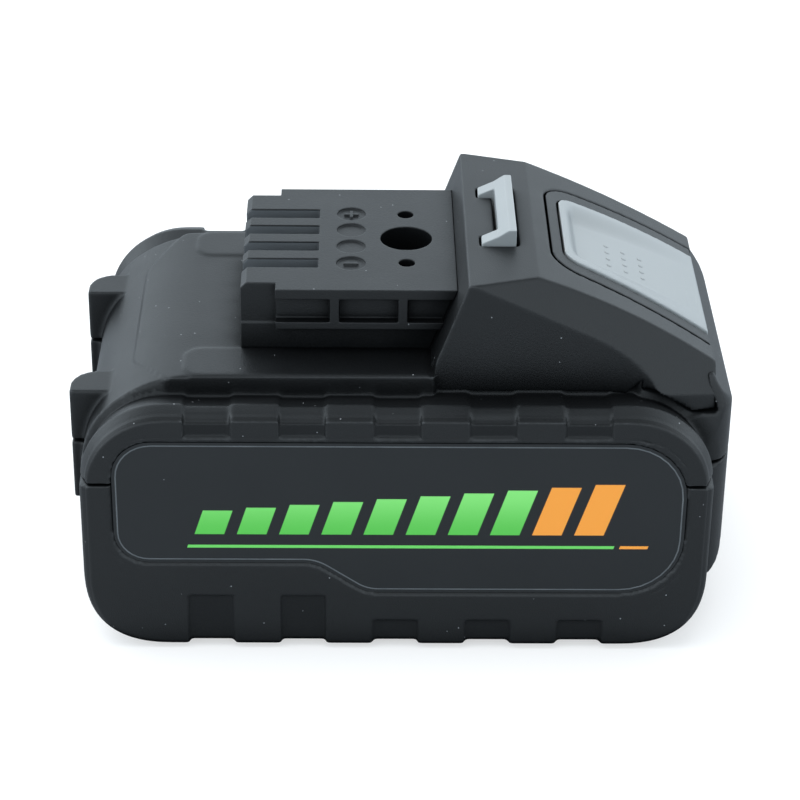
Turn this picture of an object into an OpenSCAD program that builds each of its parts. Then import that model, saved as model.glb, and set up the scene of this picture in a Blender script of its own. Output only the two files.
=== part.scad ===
// Slide-on battery pack for a cordless tool: two moulded shells, a rail block with contact slots,
// a latch with its release button, and ten round cells with their holders, straps and board.
// Millimetres. +X runs from the terminal end to the latch end, +Z is up, the pack rests on z = 0.

/* [Case] */
// Overall length, from the rib tips to the bulged end
pack_l = 118.5; // [116:0.5:124]
// Overall width over the two side plates
pack_w = 75; // [74:0.5:82]
// Height of the parting line between the two shells
seam_z = 34; // [31:0.5:36]
// Height of the deck that the rail block and the latch housing stand on
deck_z = 50.7; // [50.5:0.1:54]
// Width of the deck between the two side ledges
deck_w = 56.4; // [55.8:0.1:58]
// Radius of the deck's fall towards the terminal end
deck_round = 20; // [14:0.5:22]
// Height of the step around the deck's raised middle
deck_step = 0.4; // [0.2:0.1:0.5]
// Distance from the rib tips to the deck's raised middle
deck_step_x = 11.1; // [9:0.1:13]
// Corner cut of the deck's raised middle, across the pack
deck_step_cut = 10.7; // [6:0.1:14]
// Corner cut of the deck's raised middle, along the pack
deck_step_run = 6.4; // [4:0.1:12]
// Height of the two pads beside the rail block
deck_pad_h = 0.25; // [0.2:0.05:0.5]
// Distance from the rib tips to those pads
deck_pad_x = 20.5; // [18:0.1:28]
// Distance from a side plate's face to the hollow behind it
side_t = 3.85; // [3.6:0.05:4.2]
// Wall thickness of the shells
wall = 2.2; // [1.8:0.1:2.4]
// Shadow gap along the parting line
seam_gap = 0.5; // [0.3:0.1:0.8]
// Height of the lower shell's tongue above the parting line
tongue_h = 1.6; // [1.2:0.1:2.4]
// Thickness of that tongue
tongue_t = 0.9; // [0.7:0.1:1.1]

/* [Side plates] */
// Distance from the side plates to the tip of the bulged end
end_out = 5.3; // [4.6:0.1:6]
// Height of a side plate's top ledge
plate_top = 48.5; // [47.5:0.1:49.5]
// Corner radius of a side plate
plate_r = 15; // [12:0.5:18]
// Width of the plate's bevel, seen from the side
bevel_in = 1.4; // [0.8:0.1:2]
// Depth of the plate's bevel, across the pack
bevel_deep = 1.6; // [1.2:0.1:3]
// Number of grip notches along an edge
notch_n = 5; // [3:1:5]
// Spacing of the grip notches
notch_pitch = 16.45; // [14:0.05:18]
// Width of a grip notch
notch_w = 8.1; // [6:0.1:10]
// Depth of a notch in the plate's face
notch_deep = 0.6; // [0.4:0.1:0.8]
// Depth of a notch in the plate's edge
notch_lift = 0.5; // [0.3:0.1:0.7]
// Number of tall notches along the bottom edge
tall_notch_n = 2; // [0:1:3]
// Height of a tall bottom notch
tall_notch_h = 11.4; // [9:0.1:14]
// Height of a short bottom notch
short_notch_h = 6.1; // [4:0.1:8]

/* [Label] */
// Distance from the plate's terminal end to the label
label_inset = 5.8; // [4.5:0.1:8]
// Distance from the label to the plate's latch end
label_end = 4.8; // [4:0.1:8]
// Height of the label's top edge
label_top = 42.7; // [41:0.1:43.5]
// Height of the label's lower edge at the terminal end
label_step_z = 18.2; // [16:0.1:20]
// Height of the label's lower edge at the latch end
label_low = 12; // [10.5:0.1:14]
// Distance along the label to its sloping step
label_step_x = 35.2; // [30:0.1:40]
// Length of the sloping step
label_step_run = 9; // [6:0.1:12]
// Corner radius of the label at the terminal end
label_r = 7; // [4:0.5:9]
// Corner radius of the label at the latch end
label_big_r = 11; // [7:0.5:13]
// Thickness of the label
label_t = 0.25; // [0.15:0.05:0.4]
// Bare margin between the label and the edge of its recess
label_margin = 1; // [0.5:0.1:1.2]

/* [Pack ends] */
// How far the two ribs stand out of the side plates' end
rib_out = 2.5; // [1.4:0.1:3]
// Width of an end rib
rib_w = 7.5; // [5:0.1:9]
// Clear distance between the two ribs
rib_gap = 29.8; // [24:0.1:32]
// Height of the ribs' top face
rib_top = 44.4; // [42:0.1:46]
// Height of the ribs' lower end
rib_low = 22.4; // [18:0.1:28]
// Radius of a rib's rounded corner
rib_round = 5; // [2:0.1:6]
// How far the end wall stands out between the plates
core_out = 1; // [0.6:0.1:1.4]
// Width of the bulged end
bulge_w = 60; // [58:0.5:64]
// Corner radius of the bulged end, seen from above
bulge_corner = 6; // [4:0.5:8]
// How far the end bulges at its middle
bulge_rise = 1.7; // [0.8:0.1:2.4]
// How much the tip of that bulge is flattened
bulge_flat = 0.3; // [0.2:0.05:0.5]
// Radius of the bulged end's lean towards its top
bulge_round = 44; // [40:0.5:60]
// Height where the bulged end starts to lean in
bulge_from = 33; // [28:0.5:36]
// Height where the bulged end starts to taper in
bulge_step = 18.2; // [16:0.1:20]
// Height of the bulged end's lower edge
bulge_low = 11.9; // [10:0.1:14]

/* [Rail block] */
// Length of the rail block in front of the latch housing
block_l = 32.3; // [30:0.1:34]
// Height of the rail block above the deck
block_h = 12.9; // [12:0.1:14]
// Width over the two rail flanges
block_w = 40.6; // [38:0.1:44]
// Width of the neck under the flanges
neck_w = 35.6; // [33:0.1:37]
// Height of the neck, which is the height of the rail groove
neck_h = 5.1; // [4.5:0.1:6]
// Length of the relief at the flanges' leading corners
lead_l = 5.2; // [3:0.1:8]
// Chamfer on the block's leading edge
lead_chamfer = 1; // [0.5:0.1:1.5]
// Number of contact slots
slot_n = 4; // [2:1:4]
// Spacing of the contact slots
slot_pitch = 6.6; // [6:0.1:7.2]
// Width of a contact slot
slot_w = 3.45; // [3.2:0.05:4]
// Length of a contact slot
slot_l = 12.5; // [11:0.1:14]
// Height of the slot's floor above the deck
slot_floor = 2; // [1.5:0.1:3]
// Distance from the block's start to the round recesses
ring_dist = 18.3; // [17:0.1:20]
// Radius of a round recess
ring_r = 2.6; // [2:0.1:3]
// Depth of a round recess
ring_deep = 0.4; // [0.3:0.05:0.6]
// Length of a raised polarity sign
sign_l = 2.6; // [1.8:0.1:3]
// Line width of a raised polarity sign
sign_w = 0.6; // [0.4:0.05:0.8]
// Number of pockets along each flange
pocket_n = 3; // [2:1:3]
// Length of a pocket
pocket_l = 10.3; // [8:0.1:11]
// Rib between two pockets
pocket_rib = 1.65; // [1.2:0.05:3]
// Height of a pocket
pocket_h = 4.5; // [3:0.1:5]
// Depth of a pocket
pocket_deep = 1.8; // [1:0.1:2.2]
// Thickness of the flange above the pockets
pocket_cover = 1.9; // [1.2:0.1:2.4]
// Distance from the block's start to the screw well
well_dist = 28.2; // [27:0.1:29]
// Radius of the screw well
well_r = 4.65; // [3.5:0.05:5.5]
// Depth of the screw well
well_deep = 5; // [4:0.1:7]
// Radius of the two small locating holes
peg_r = 1.45; // [1:0.05:2]
// Distance of a locating hole from the middle
peg_y = 9.7; // [8:0.1:11]
// Depth of a locating hole
peg_deep = 4; // [2:0.1:6]

/* [Latch housing] */
// Height of the latch housing above the deck
hump_h = 17.3; // [16:0.1:19]
// Distance from the housing to the tip of the bulged end
hump_end = 5; // [4.5:0.1:5.5]
// Length of the sloping top
slope_l = 31.5; // [30.5:0.1:32.5]
// Length of the flat top
top_l = 12.1; // [11.5:0.1:13]
// How far the front face leans
front_run = 6.3; // [5:0.1:7.5]
// Width of the top at its front corners
hump_w = 54.6; // [54.2:0.1:56]
// Width over the housing's side walls
hump_side = 54.2; // [53:0.1:55.6]
// Radius of the sloping top
slope_r = 162; // [150:1:200]
// Angle of the slope at its start
slope_start = 20.5; // [19.5:0.5:22]
// Plan angle of the facets along the housing's sides
facet_turn = 17; // [15:0.5:19]
// Lean of those facets
facet_lean = 58; // [56:0.5:60]
// Wall thickness of the housing
hump_wall = 2; // [1.6:0.1:2.4]
// Length of a side wing
wing_l = 10.5; // [8:0.5:13]
// Length of the flare in front of a wing
wing_run = 11; // [6:0.5:12]
// How far a wing stands out of the deck's side
wing_out = 1.8; // [0.5:0.1:2]
// How much a wing draws in towards the housing's end
wing_taper = 2.5; // [2:0.1:4]
// Fall of the wing's lower edge
wing_fall = 4.2; // [3.5:0.1:5]
// Length of the level end of that edge
wing_level = 4; // [3:0.1:5]

/* [Release button] */
// Distance from the start of the slope to the button panel
panel_dist = 5.4; // [4.5:0.1:6.5]
// Width of the button panel at its upper end
panel_w0 = 24.4; // [23:0.1:26]
// Width of the button panel at its lower end
panel_w1 = 29.4; // [25:0.1:30]
// Corner radius of the button panel
panel_r = 3; // [2:0.1:4]
// Thickness of the button's cap
panel_t = 2.4; // [2:0.1:3]
// How far the button stands out of the slope
panel_proud = 0.4; // [0.2:0.1:0.8]
// Width of the bezel along the button's sides
bezel_w = 3.6; // [3:0.1:4]
// Width of the bezel at the button's upper end
bezel_end = 2.3; // [2:0.1:3]
// Thickness of the bezel
bezel_t = 1.8; // [1.4:0.1:2.2]
// Width of the lip that carries the bezel
lip_w = 1.2; // [0.9:0.1:1.5]

/* [Latch] */
// Distance from the top's front edge to the hook's bar
hook_dist = 5.6; // [5.1:0.1:6.1]
// Thickness of the hook's bar
hook_t = 3.2; // [2.6:0.1:3.6]
// Overall width of the hook
hook_w = 22.8; // [20:0.1:23]
// Clear width between the hook's two arms
hook_inner = 16.6; // [14:0.1:18]
// Length of the hook's arms
hook_arm = 2.9; // [2.5:0.1:3.2]
// Height of the hook above the housing's top
hook_h = 3; // [2.4:0.1:3.4]
// Fall of the ramp across the bar
hook_ramp = 1.3; // [0.8:0.1:1.6]
// How far the latch travels when the button is pressed
latch_travel = 4; // [3.6:0.1:4.4]
// Distance from the housing's top down to the carriage's top
carriage_drop = 13.3; // [12.8:0.1:13.6]
// Thickness of the carriage
carriage_t = 2.5; // [2:0.1:2.8]
// Length of the carriage behind the hook
carriage_l = 18; // [17:0.1:20]
// Distance from the hook's bar to the two guide posts
post_dist = 9; // [8.5:0.1:9.5]
// Distance of a guide post from the middle
post_y = 7; // [6:0.1:7.5]
// Radius of a guide post
post_r = 1.6; // [1.3:0.05:1.9]
// Radius of the two stop pins above the carriage
stop_r = 1.2; // [0.9:0.1:1.3]
// Outer radius of a guide sleeve
sleeve_r = 3.2; // [2.8:0.1:3.5]
// Length of a sleeve below the carriage
sleeve_low = 1.6; // [1:0.1:1.8]
// Wire diameter of a latch spring
spring_wire = 0.7; // [0.5:0.05:0.9]

/* [Cells] */
// Diameter of a sleeved cell
cell_d = 18.4; // [18:0.05:18.5]
// Gap between neighbouring cells
cell_gap = 0.4; // [0.2:0.05:0.5]
// Shift of the block of cells from the middle between the screw bosses
cell_shift = 0.2; // [-0.3:0.05:0.3]
// Thickness of the pad under the cells
pad_t = 1; // [0.5:0.1:1.2]
// Depth of a cell holder along the cells
holder_t = 7.6; // [5:0.1:12]
// Rim of a cell holder outside its cells
holder_rim = 1.2; // [1:0.05:1.4]
// Thickness of a connecting strap
strap_t = 0.3; // [0.15:0.05:0.35]
// Half width of a strap beside a cell's centre
strap_half = 4.5; // [3:0.1:6]
// Thickness of the insulating sheets
sheet_t = 0.4; // [0.2:0.05:0.45]

/* [Board] */
// Thickness of the frame on top of the cells
frame_t = 1.4; // [1:0.1:1.6]
// Height of the board's standoffs
standoff_h = 1.5; // [1.2:0.1:1.6]
// Thickness of the circuit board
board_t = 1.4; // [1:0.1:1.6]
// Distance from the first cells' middle to the board's end
board_dist = 3.8; // [3.4:0.1:4.2]
// How far the board reaches past the rail block
board_reach = 4.9; // [4.5:0.1:5.5]
// Radius of the board's standoffs
standoff_r = 2.4; // [2:0.1:2.8]
// Width of the board
board_w = 42; // [38:0.1:46]
// Height of the parts on the board
chip_h = 0.9; // [0.6:0.1:1]
// Length of a power switch on the board
power_l = 6.3; // [5:0.1:7]
// Width of a power switch on the board
power_w = 5.4; // [4:0.1:6]
// Spacing of the power switches
power_pitch = 9; // [7:0.1:10]
// Number of power switches
power_n = 3; // [1:1:3]
// Edge of the square controller chip
logic_l = 7; // [5:0.1:7.5]
// Length of a contact clip along the pack
clip_l = 7; // [5:0.1:8]
// Width over the two blades of a clip
clip_w = 2.4; // [2:0.1:2.6]
// Thickness of a clip's blade
clip_t = 0.5; // [0.3:0.05:0.6]
// Distance from the clip's top to the block's top
clip_drop = 6; // [3:0.1:8]
// Width of the two power leads
lead_w = 5; // [3:0.1:6]
// Thickness of the two power leads
lead_t = 0.3; // [0.2:0.05:0.5]
// Radius of the thermistor's bead
bead_r = 0.9; // [0.6:0.05:1]
// Length of the thermistor's bead
bead_l = 5; // [3:0.1:8]

/* [Screws] */
// Shank radius of the case screws, housing screws and block screw
screw_r = 1.3; // [1:0.05:1.4]
// Head radius of those screws
head_r = 2.2; // [1.9:0.05:2.3]
// Head height of those screws
head_h = 1.6; // [1.2:0.1:1.8]
// Radius of a screw boss
boss_r = 3.4; // [3.2:0.05:3.5]
// Distance of a case screw from the cell holders
boss_in = 4.5; // [3.8:0.1:6]
// Radius of the bosses for the housing screws and the block screw
slim_boss_r = 2.9; // [2.6:0.05:3.1]
// Height of the case screws' seat
seat_z = 9; // [7:0.1:11]
// Reach of the case screws above the parting line
screw_reach = 5; // [3:0.1:6]
// Distance from the housing's end to its rear screws
housing_screw_end = 15.5; // [15:0.1:17]
// Distance of a housing screw from the middle
housing_screw_y = 20.3; // [19.2:0.1:20.7]
// Shank radius of the board screws
board_screw_r = 0.8; // [0.6:0.05:1]

/* [Fits] */
// Gap around moving and snapped-in pieces
fit_gap = 0.35; // [0.3:0.05:0.45]
// Radial clearance of the guide posts
guide_gap = 0.08; // [0.03:0.01:0.1]
// Radial clearance of a screw in its own thread
thread_gap = 0.05; // [0.02:0.01:0.1]
// Radial clearance of a screw in a plain hole
hole_gap = 0.3; // [0.2:0.05:0.4]
// Radial clearance of a cell in its holder
cell_fit = 0.1; // [0.05:0.05:0.2]

/* [Hidden] */
$fn = 96;
over = 1;
far = 200;
skim = 0.05;
quarter = 90;
rows = 2;
boss_sink = 0.25;
arc_steps = 8;
case_color = "#2b2d2f";
light_color = "#b9c1c6";
metal_color = "#b8b4a8";
board_color = "#1f5a3a";

// Places along the pack
x0 = -pack_l / 2;
x1 = pack_l / 2;
plate_x0 = x0 + rib_out;
plate_x1 = x1 - end_out;
plate_mid = (plate_x0 + plate_x1) / 2;
core_x0 = plate_x0 - core_out;
bulge_x = x1 - bulge_rise;
join_x = plate_x1 - plate_r;
hump_x2 = x1 - hump_end;
hump_x1 = hump_x2 - slope_l;
hump_x0 = hump_x1 - top_l;
hump_base_x = hump_x0 - front_run;
wing_x = hump_x2 - wing_l;
panel_x = hump_x1 + panel_dist;
hook_x = hump_x0 + hook_dist;
post_x = hook_x + post_dist;
block_x = hump_base_x - block_l;
block_end = hump_x0 + over;
slot_end = block_x + slot_l;
ring_x = block_x + ring_dist;
well_x = block_x + well_dist;
boss_x0 = plate_x0 + wall + boss_r - boss_sink;
boss_x1 = plate_x1 - boss_r - boss_sink;

// Half widths across the pack
face_y = pack_w / 2;
slab_y = face_y - bevel_deep;
recess_y = face_y - notch_deep;
deck_y = deck_w / 2;
block_y = block_w / 2;
neck_y = neck_w / 2;
wing_y = deck_y + wing_out;
side_y = hump_side / 2;
cavity_y = face_y - side_t;
sheet_y = cavity_y - fit_gap;
strap_y = sheet_y - sheet_t;
cell_end = strap_y - strap_t;
cell_l = 2 * cell_end;
boss_y = cell_end - holder_t - boss_in;
bezel_extra = bezel_w - bezel_end;

// Heights
block_z = deck_z + block_h;
flange_z = deck_z + neck_h;
hump_z = deck_z + hump_h;
carriage_z = hump_z - carriage_drop;
sleeve_z = carriage_z - carriage_t - sleeve_low;
holder_z = wall + pad_t;
cell_r = cell_d / 2;
cell_step = cell_d + cell_gap;
columns = floor((boss_x1 - boss_x0 - 2 * boss_r + cell_gap) / cell_step);
cell_x = (boss_x0 + boss_x1) / 2 + cell_shift;
row_z = [for (r = [0:rows - 1]) holder_z + holder_rim + cell_r + r * cell_step];
column_x = [for (c = [0:columns - 1]) cell_x + (c - (columns - 1) / 2) * cell_step];
cell_top = row_z[rows - 1] + cell_r;
frame_z = cell_top + holder_rim;
board_z = frame_z + frame_t + standoff_h;
board_top = board_z + board_t;
roof_z = deck_z - wall;

// Cell holder outline
holder_x0 = column_x[0] - cell_r - holder_rim;
holder_x1 = column_x[columns - 1] + cell_r + holder_rim;
holder_round = cell_r + holder_rim;

// Centre of the sloping top's circle
slope_cx = hump_x1 - slope_r * sin(slope_start);
slope_cz = hump_z - slope_r * cos(slope_start);
front_lean = atan2(hump_x0 - hump_base_x, hump_h);

// Strap groups, as first and last column, on the front side and on the rear side
front_groups = [for (k = [0:floor(columns / 2)]) [max(0, 2 * k - 1), min(2 * k, columns - 1)]];
rear_groups = [for (k = [0:ceil(columns / 2) - 1]) [2 * k, min(2 * k + 1, columns - 1)]];
strap_n = len(front_groups) + len(rear_groups);
cell_n = rows * columns;
spring_n = 2;

board_x = column_x[0] - board_dist;
board_x1 = hump_base_x + board_reach;
housing_screw_x = [hump_x0 + boss_r, hump_x2 - housing_screw_end];
board_screw_at = [for (x = [board_x + boss_r, board_x1 - boss_r], s = [-1, 1])
    [x, s * (board_w / 2 - boss_r)]];
slot_y = [for (i = [0:slot_n - 1]) (i - (slot_n - 1) / 2) * slot_pitch];
clip_x = slot_end - clip_l / 2 - over;
bead_x = column_x[floor(columns / 2)];
bead_y = bead_r + over;

// Points of an outline whose corners are rounded; each corner is [x, y, radius]
function turn_of(a, b) = atan2(b[1] - a[1], b[0] - a[0]);
function wrap(a) = a > 180 ? a - 360 : (a < -180 ? a + 360 : a);
function corner_points(a, b, c) =
    let (ta = turn_of(a, b), bend = wrap(turn_of(b, c) - ta), r = b[2])
    r == 0 ? [[b[0], b[1]]] :
    let (cut = r * abs(tan(bend / 2)), side = sign(bend))
    let (cx = b[0] - cut * cos(ta) - side * r * sin(ta))
    let (cy = b[1] - cut * sin(ta) + side * r * cos(ta))
    [for (k = [0:arc_steps]) let (t = ta - side * quarter + bend * k / arc_steps)
        [cx + r * cos(t), cy + r * sin(t)]];
function rounded(p) = [for (i = [0:len(p) - 1], q = corner_points(
    p[(i + len(p) - 1) % len(p)], p[i], p[(i + 1) % len(p)])) q];

// Extrudes a side view, drawn in X and Z, across the pack
module across(y_from, y_to) {
    translate([0, y_to, 0]) rotate([quarter, 0, 0]) linear_extrude(y_to - y_from) children();
}

// Extrudes an end view, drawn in Y and Z, along the pack
module along(x_from, x_to) {
    translate([x_from, 0, 0]) rotate([quarter, 0, quarter]) linear_extrude(x_to - x_from) children();
}

// The same shape on both sides of the pack
module both_sides() {
    children();
    mirror([0, 1, 0]) children();
}

module rounded_box(lo, hi, r) {
    translate([lo[0] + r, lo[1]]) square([hi[0] - lo[0] - 2 * r, hi[1] - lo[1]]);
    translate([lo[0], lo[1] + r]) square([hi[0] - lo[0], hi[1] - lo[1] - 2 * r]);
    for (x = [lo[0] + r, hi[0] - r], y = [lo[1] + r, hi[1] - r]) translate([x, y]) circle(r);
}

// What a rounded corner takes off a square one; sx and sy point into the shape
module corner_off(x, y, r, sx, sy) {
    translate([x, y]) difference() {
        translate([sx > 0 ? -over : -r, sy > 0 ? -over : -r]) square(r + over);
        translate([sx * r, sy * r]) circle(r);
    }
}

module halfspace_below(z) {
    translate([-far, -far, z - far]) cube([2 * far, 2 * far, far]);
}

module halfspace_above(z) {
    translate([-far, -far, z]) cube([2 * far, 2 * far, far]);
}

// Side plates with the slab between them, drawn in by in_plane all round and in_deep across
module plate_solid(in_plane, in_deep) {
    lo = [plate_x0 + in_plane, in_plane];
    hi = [plate_x1 - in_plane, plate_top - in_plane];
    r = plate_r - in_plane;
    y_slab = slab_y - in_deep;
    y_face = face_y - in_deep;
    across(-y_slab, y_slab) rounded_box(lo, hi, r);
    both_sides() {
        for (x = [lo[0] + r, hi[0] - r], z = [lo[1] + r, hi[1] - r])
            translate([x, -y_slab, z]) rotate([quarter, 0, 0])
                cylinder(h = bevel_deep, r1 = r, r2 = r - bevel_in);
        along(lo[0] + r, hi[0] - r) polygon([
            [-y_slab, lo[1]], [-y_slab, hi[1]], [-y_face, hi[1] - bevel_in], [-y_face, lo[1] + bevel_in]]);
        translate([0, 0, lo[1] + r]) linear_extrude(hi[1] - lo[1] - 2 * r) polygon([
            [lo[0], -y_slab], [hi[0], -y_slab], [hi[0] - bevel_in, -y_face], [lo[0] + bevel_in, -y_face]]);
    }
}

// Outline of the label in side view, seen from the front, grown all round
module label_outline(grow) {
    left = plate_x0 + label_inset - grow;
    right = plate_x1 - label_end + grow;
    step = plate_x0 + label_inset + label_step_x;
    polygon(rounded([
        [left, label_step_z - grow, label_r - over], [step, label_step_z - grow, label_r],
        [step + label_step_run, label_low - grow, label_r], [right, label_low - grow, label_big_r],
        [right, label_top + grow, label_big_r], [left, label_top + grow, label_r + grow]]));
}

// The grip notches along the plates' top and bottom edges
module notch_boxes() {
    gap_z = label_top + label_margin;
    for (i = [0:notch_n - 1]) {
        x = plate_mid + (i - (notch_n - 1) / 2) * notch_pitch - notch_w / 2;
        h = i < tall_notch_n ? tall_notch_h : short_notch_h;
        both_sides() {
            translate([x, -face_y - over, gap_z]) cube([notch_w, face_y - deck_y + over, plate_top]);
            translate([x, -face_y - over, -over]) cube([notch_w, face_y - deck_y + over, h + over]);
        }
    }
}

// The pack's end between the plates, drawn in by a wall
module core_solid(in) {
    across(in - deck_y, deck_y - in) difference() {
        union() {
            translate([core_x0 + in, in]) square([join_x - core_x0 - in, deck_z - 2 * in]);
            translate([join_x - over, seam_z]) square([over + wall - in, deck_z - in - seam_z]);
        }
        corner_off(core_x0 + in, deck_z - in, deck_round - in, 1, -1);
        corner_off(core_x0 + in, in, plate_r - in, 1, 1);
    }
}

// Plan of the deck's raised middle
module deck_middle() {
    left = x0 + deck_step_x;
    turn = left + deck_step_run;
    straight = deck_y - deck_step_cut;
    right = join_x + wall;
    polygon(rounded([
        [left, -straight, deck_step_run], [turn, -deck_y, 0], [right, -deck_y, 0],
        [right, deck_y, 0], [turn, deck_y, 0], [left, straight, deck_step_run]]));
}

// The two raised pads beside the rail block
module deck_pads() {
    left = x0 + deck_pad_x;
    inner = neck_y + fit_gap;
    both_sides() translate([0, 0, deck_z - over]) linear_extrude(over + deck_pad_h)
        polygon(rounded([
            [left, inner, panel_r], [hump_base_x - fit_gap, inner, 0],
            [hump_base_x - fit_gap, deck_y - deck_step, 0], [left, deck_y - deck_step, panel_r]]));
}

// Lower edge of the wings in side view, from which the space above is left free
module wing_space(grow) {
    left = wing_x - wing_run - grow;
    level = plate_top + fit_gap - grow;
    low = plate_top - wing_fall - grow;
    polygon([
        [left, level], [wing_x - grow, level], [hump_x2 - wing_level, low], [hump_x2 + grow, low],
        [hump_x2 + grow, hump_z], [left, hump_z]]);
}

// Plan of the front side's wing with the flare in front of it, drawn in by a wall
function wing_line(in) = concat(
    [for (k = [0:arc_steps]) let (a = quarter * k / arc_steps)
        [wing_x + in - wing_run * (1 - sin(a)), in - side_y - (wing_y - side_y) * (1 - cos(a))]],
    [[hump_x2, wing_taper + in - wing_y]]);

// Plan of the housing at its wings, drawn in by a wall
module wing_plan(in) {
    line = wing_line(in);
    both_sides() polygon(concat(line, [[hump_x2, 0], [line[0][0], 0]]));
}

// Plan of the space outside the front side's wing, drawn in by a wall
module wing_outside(in) {
    line = wing_line(in);
    end_y = wing_taper + in - wing_y;
    polygon(concat(line, [[far, end_y], [far, -far], [line[0][0], -far]]));
}

// The space outside the front side's facet, drawn in by a wall
module facet_space(in) {
    translate([hump_x0, -hump_w / 2, hump_z]) rotate([facet_lean, 0, facet_turn])
        translate([-far, -far, -in]) cube([2 * far, 2 * far, far]);
}

// What is left of a side or end view whose upright edge leans in towards its top
module lean_in(edge, in) {
    translate([edge - 2 * far, -far]) square([2 * far, far + bulge_from]);
    translate([edge - bulge_round + in, bulge_from]) circle(bulge_round - in, $fn = 360);
}

// The bulged latch end, drawn in by a wall
module bulge_solid(in) {
    half = bulge_w / 2 - in;
    corner = bulge_corner - in / 2;
    chord = half - corner - over;
    bow = (pow(chord, 2) + pow(bulge_rise, 2)) / (2 * bulge_rise);
    end = x1 - in;
    side = half + skim;
    difference() {
        intersection() {
            translate([0, 0, in]) linear_extrude(deck_z - 2 * in) difference() {
                intersection() {
                    translate([hump_base_x, -side]) square([far, 2 * side]);
                    translate([end + bulge_flat - bow, 0]) circle(bow, $fn = 360);
                }
                for (s = [-1, 1]) corner_off(bulge_x - in, s * side, corner, -1, -s);
            }
            across(-far, far) intersection() {
                polygon([
                    [hump_x0, bulge_low + in], [plate_x1 - in, bulge_low - bulge_rise + in],
                    [bulge_x - over - in, bulge_low + in], [end, bulge_step],
                    [end, deck_z - in], [hump_x0, deck_z - in]]);
                lean_in(end, in);
            }
            along(hump_base_x, far) intersection() {
                lean_in(half, in);
                mirror([1, 0]) lean_in(half, in);
            }
        }
        both_sides() across(-far, in - deck_y)
            translate([0, plate_top - over - in]) square([wing_x - over, far]);
        both_sides() intersection() {
            across(-far, far) wing_space(fit_gap + in);
            union() {
                facet_space(hump_wall + in);
                linear_extrude(far) wing_outside(hump_wall + in);
            }
        }
    }
}

module end_ribs() {
    for (y = [-rib_gap / 2 - rib_w, rib_gap / 2])
        translate([0, 0, rib_low]) linear_extrude(rib_top - rib_low) difference() {
            translate([x0, y]) square([plate_r + rib_out, rib_w]);
            corner_off(x0, y + rib_w, rib_round, 1, -1);
        }
}

module case_outer() {
    difference() {
        plate_solid(0, 0);
        difference() {
            notch_boxes();
            plate_solid(notch_lift, notch_deep);
        }
        both_sides() across(-far, -recess_y) label_outline(label_margin);
    }
    core_solid(deck_step);
    intersection() {
        core_solid(0);
        translate([0, 0, seam_z]) linear_extrude(far) deck_middle();
    }
    bulge_solid(0);
    end_ribs();
}

// The hollow of the case behind a wall
module case_cavity(in) {
    across(-cavity_y - wall + in, cavity_y + wall - in)
        rounded_box([plate_x0 + in, in], [plate_x1 - in, plate_top - in], plate_r - in);
    core_solid(in);
    bulge_solid(in);
}

module boss_places() {
    for (x = [boss_x0, boss_x1], y = [-boss_y, boss_y]) translate([x, y, 0]) children();
}

module lower_shell() {
    color(case_color) difference() {
        union() {
            difference() {
                intersection() {
                    case_outer();
                    halfspace_below(seam_z);
                }
                case_cavity(wall);
            }
            intersection() {
                difference() {
                    case_cavity(wall - tongue_t);
                    case_cavity(wall);
                }
                translate([-far, -far, seam_z - over]) cube([2 * far, 2 * far, tongue_h + over]);
            }
            intersection() {
                case_outer();
                boss_places() cylinder(h = seam_z, r = boss_r);
            }
        }
        boss_places() {
            translate([0, 0, -over]) cylinder(h = seat_z + over, r = head_r + hole_gap);
            cylinder(h = deck_z, r = screw_r + hole_gap);
        }
    }
}

module clip_holes(gap) {
    for (y = slot_y) translate([clip_x - clip_l / 2 - gap, y - clip_w / 2 - gap, roof_z - over])
        cube([clip_l + 2 * gap, clip_w + 2 * gap, slot_floor + wall + 2 * over]);
}

module upper_shell() {
    color(case_color) difference() {
        union() {
            difference() {
                intersection() {
                    case_outer();
                    halfspace_above(seam_z + seam_gap);
                }
                case_cavity(wall);
            }
            intersection() {
                case_outer();
                boss_places() translate([0, 0, seam_z + seam_gap]) cylinder(h = deck_z, r = boss_r);
            }
            deck_pads();
        }
        intersection() {
            case_cavity(wall - tongue_t - fit_gap / 2);
            halfspace_below(seam_z + tongue_h);
        }
        boss_places() cylinder(h = seam_z + screw_reach + over, r = screw_r + thread_gap);
        clip_holes(fit_gap);
        translate([well_x, 0, 0]) cylinder(h = deck_z + over, r = screw_r + hole_gap);
        for (x = housing_screw_x, y = [-housing_screw_y, housing_screw_y])
            translate([x, y, 0]) cylinder(h = deck_z + over, r = screw_r + hole_gap);
        translate([0, 0, plate_top - wall - latch_travel]) linear_extrude(deck_z) latch_opening();
    }
}

// Plan of the hole in the deck under the latch
module latch_opening() {
    half = panel_w1 / 2 + fit_gap;
    translate([hook_x - hook_arm - 2 * fit_gap, -half])
        square([hump_x2 - hook_x + hook_arm + 3 * fit_gap, 2 * half]);
}

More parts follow.
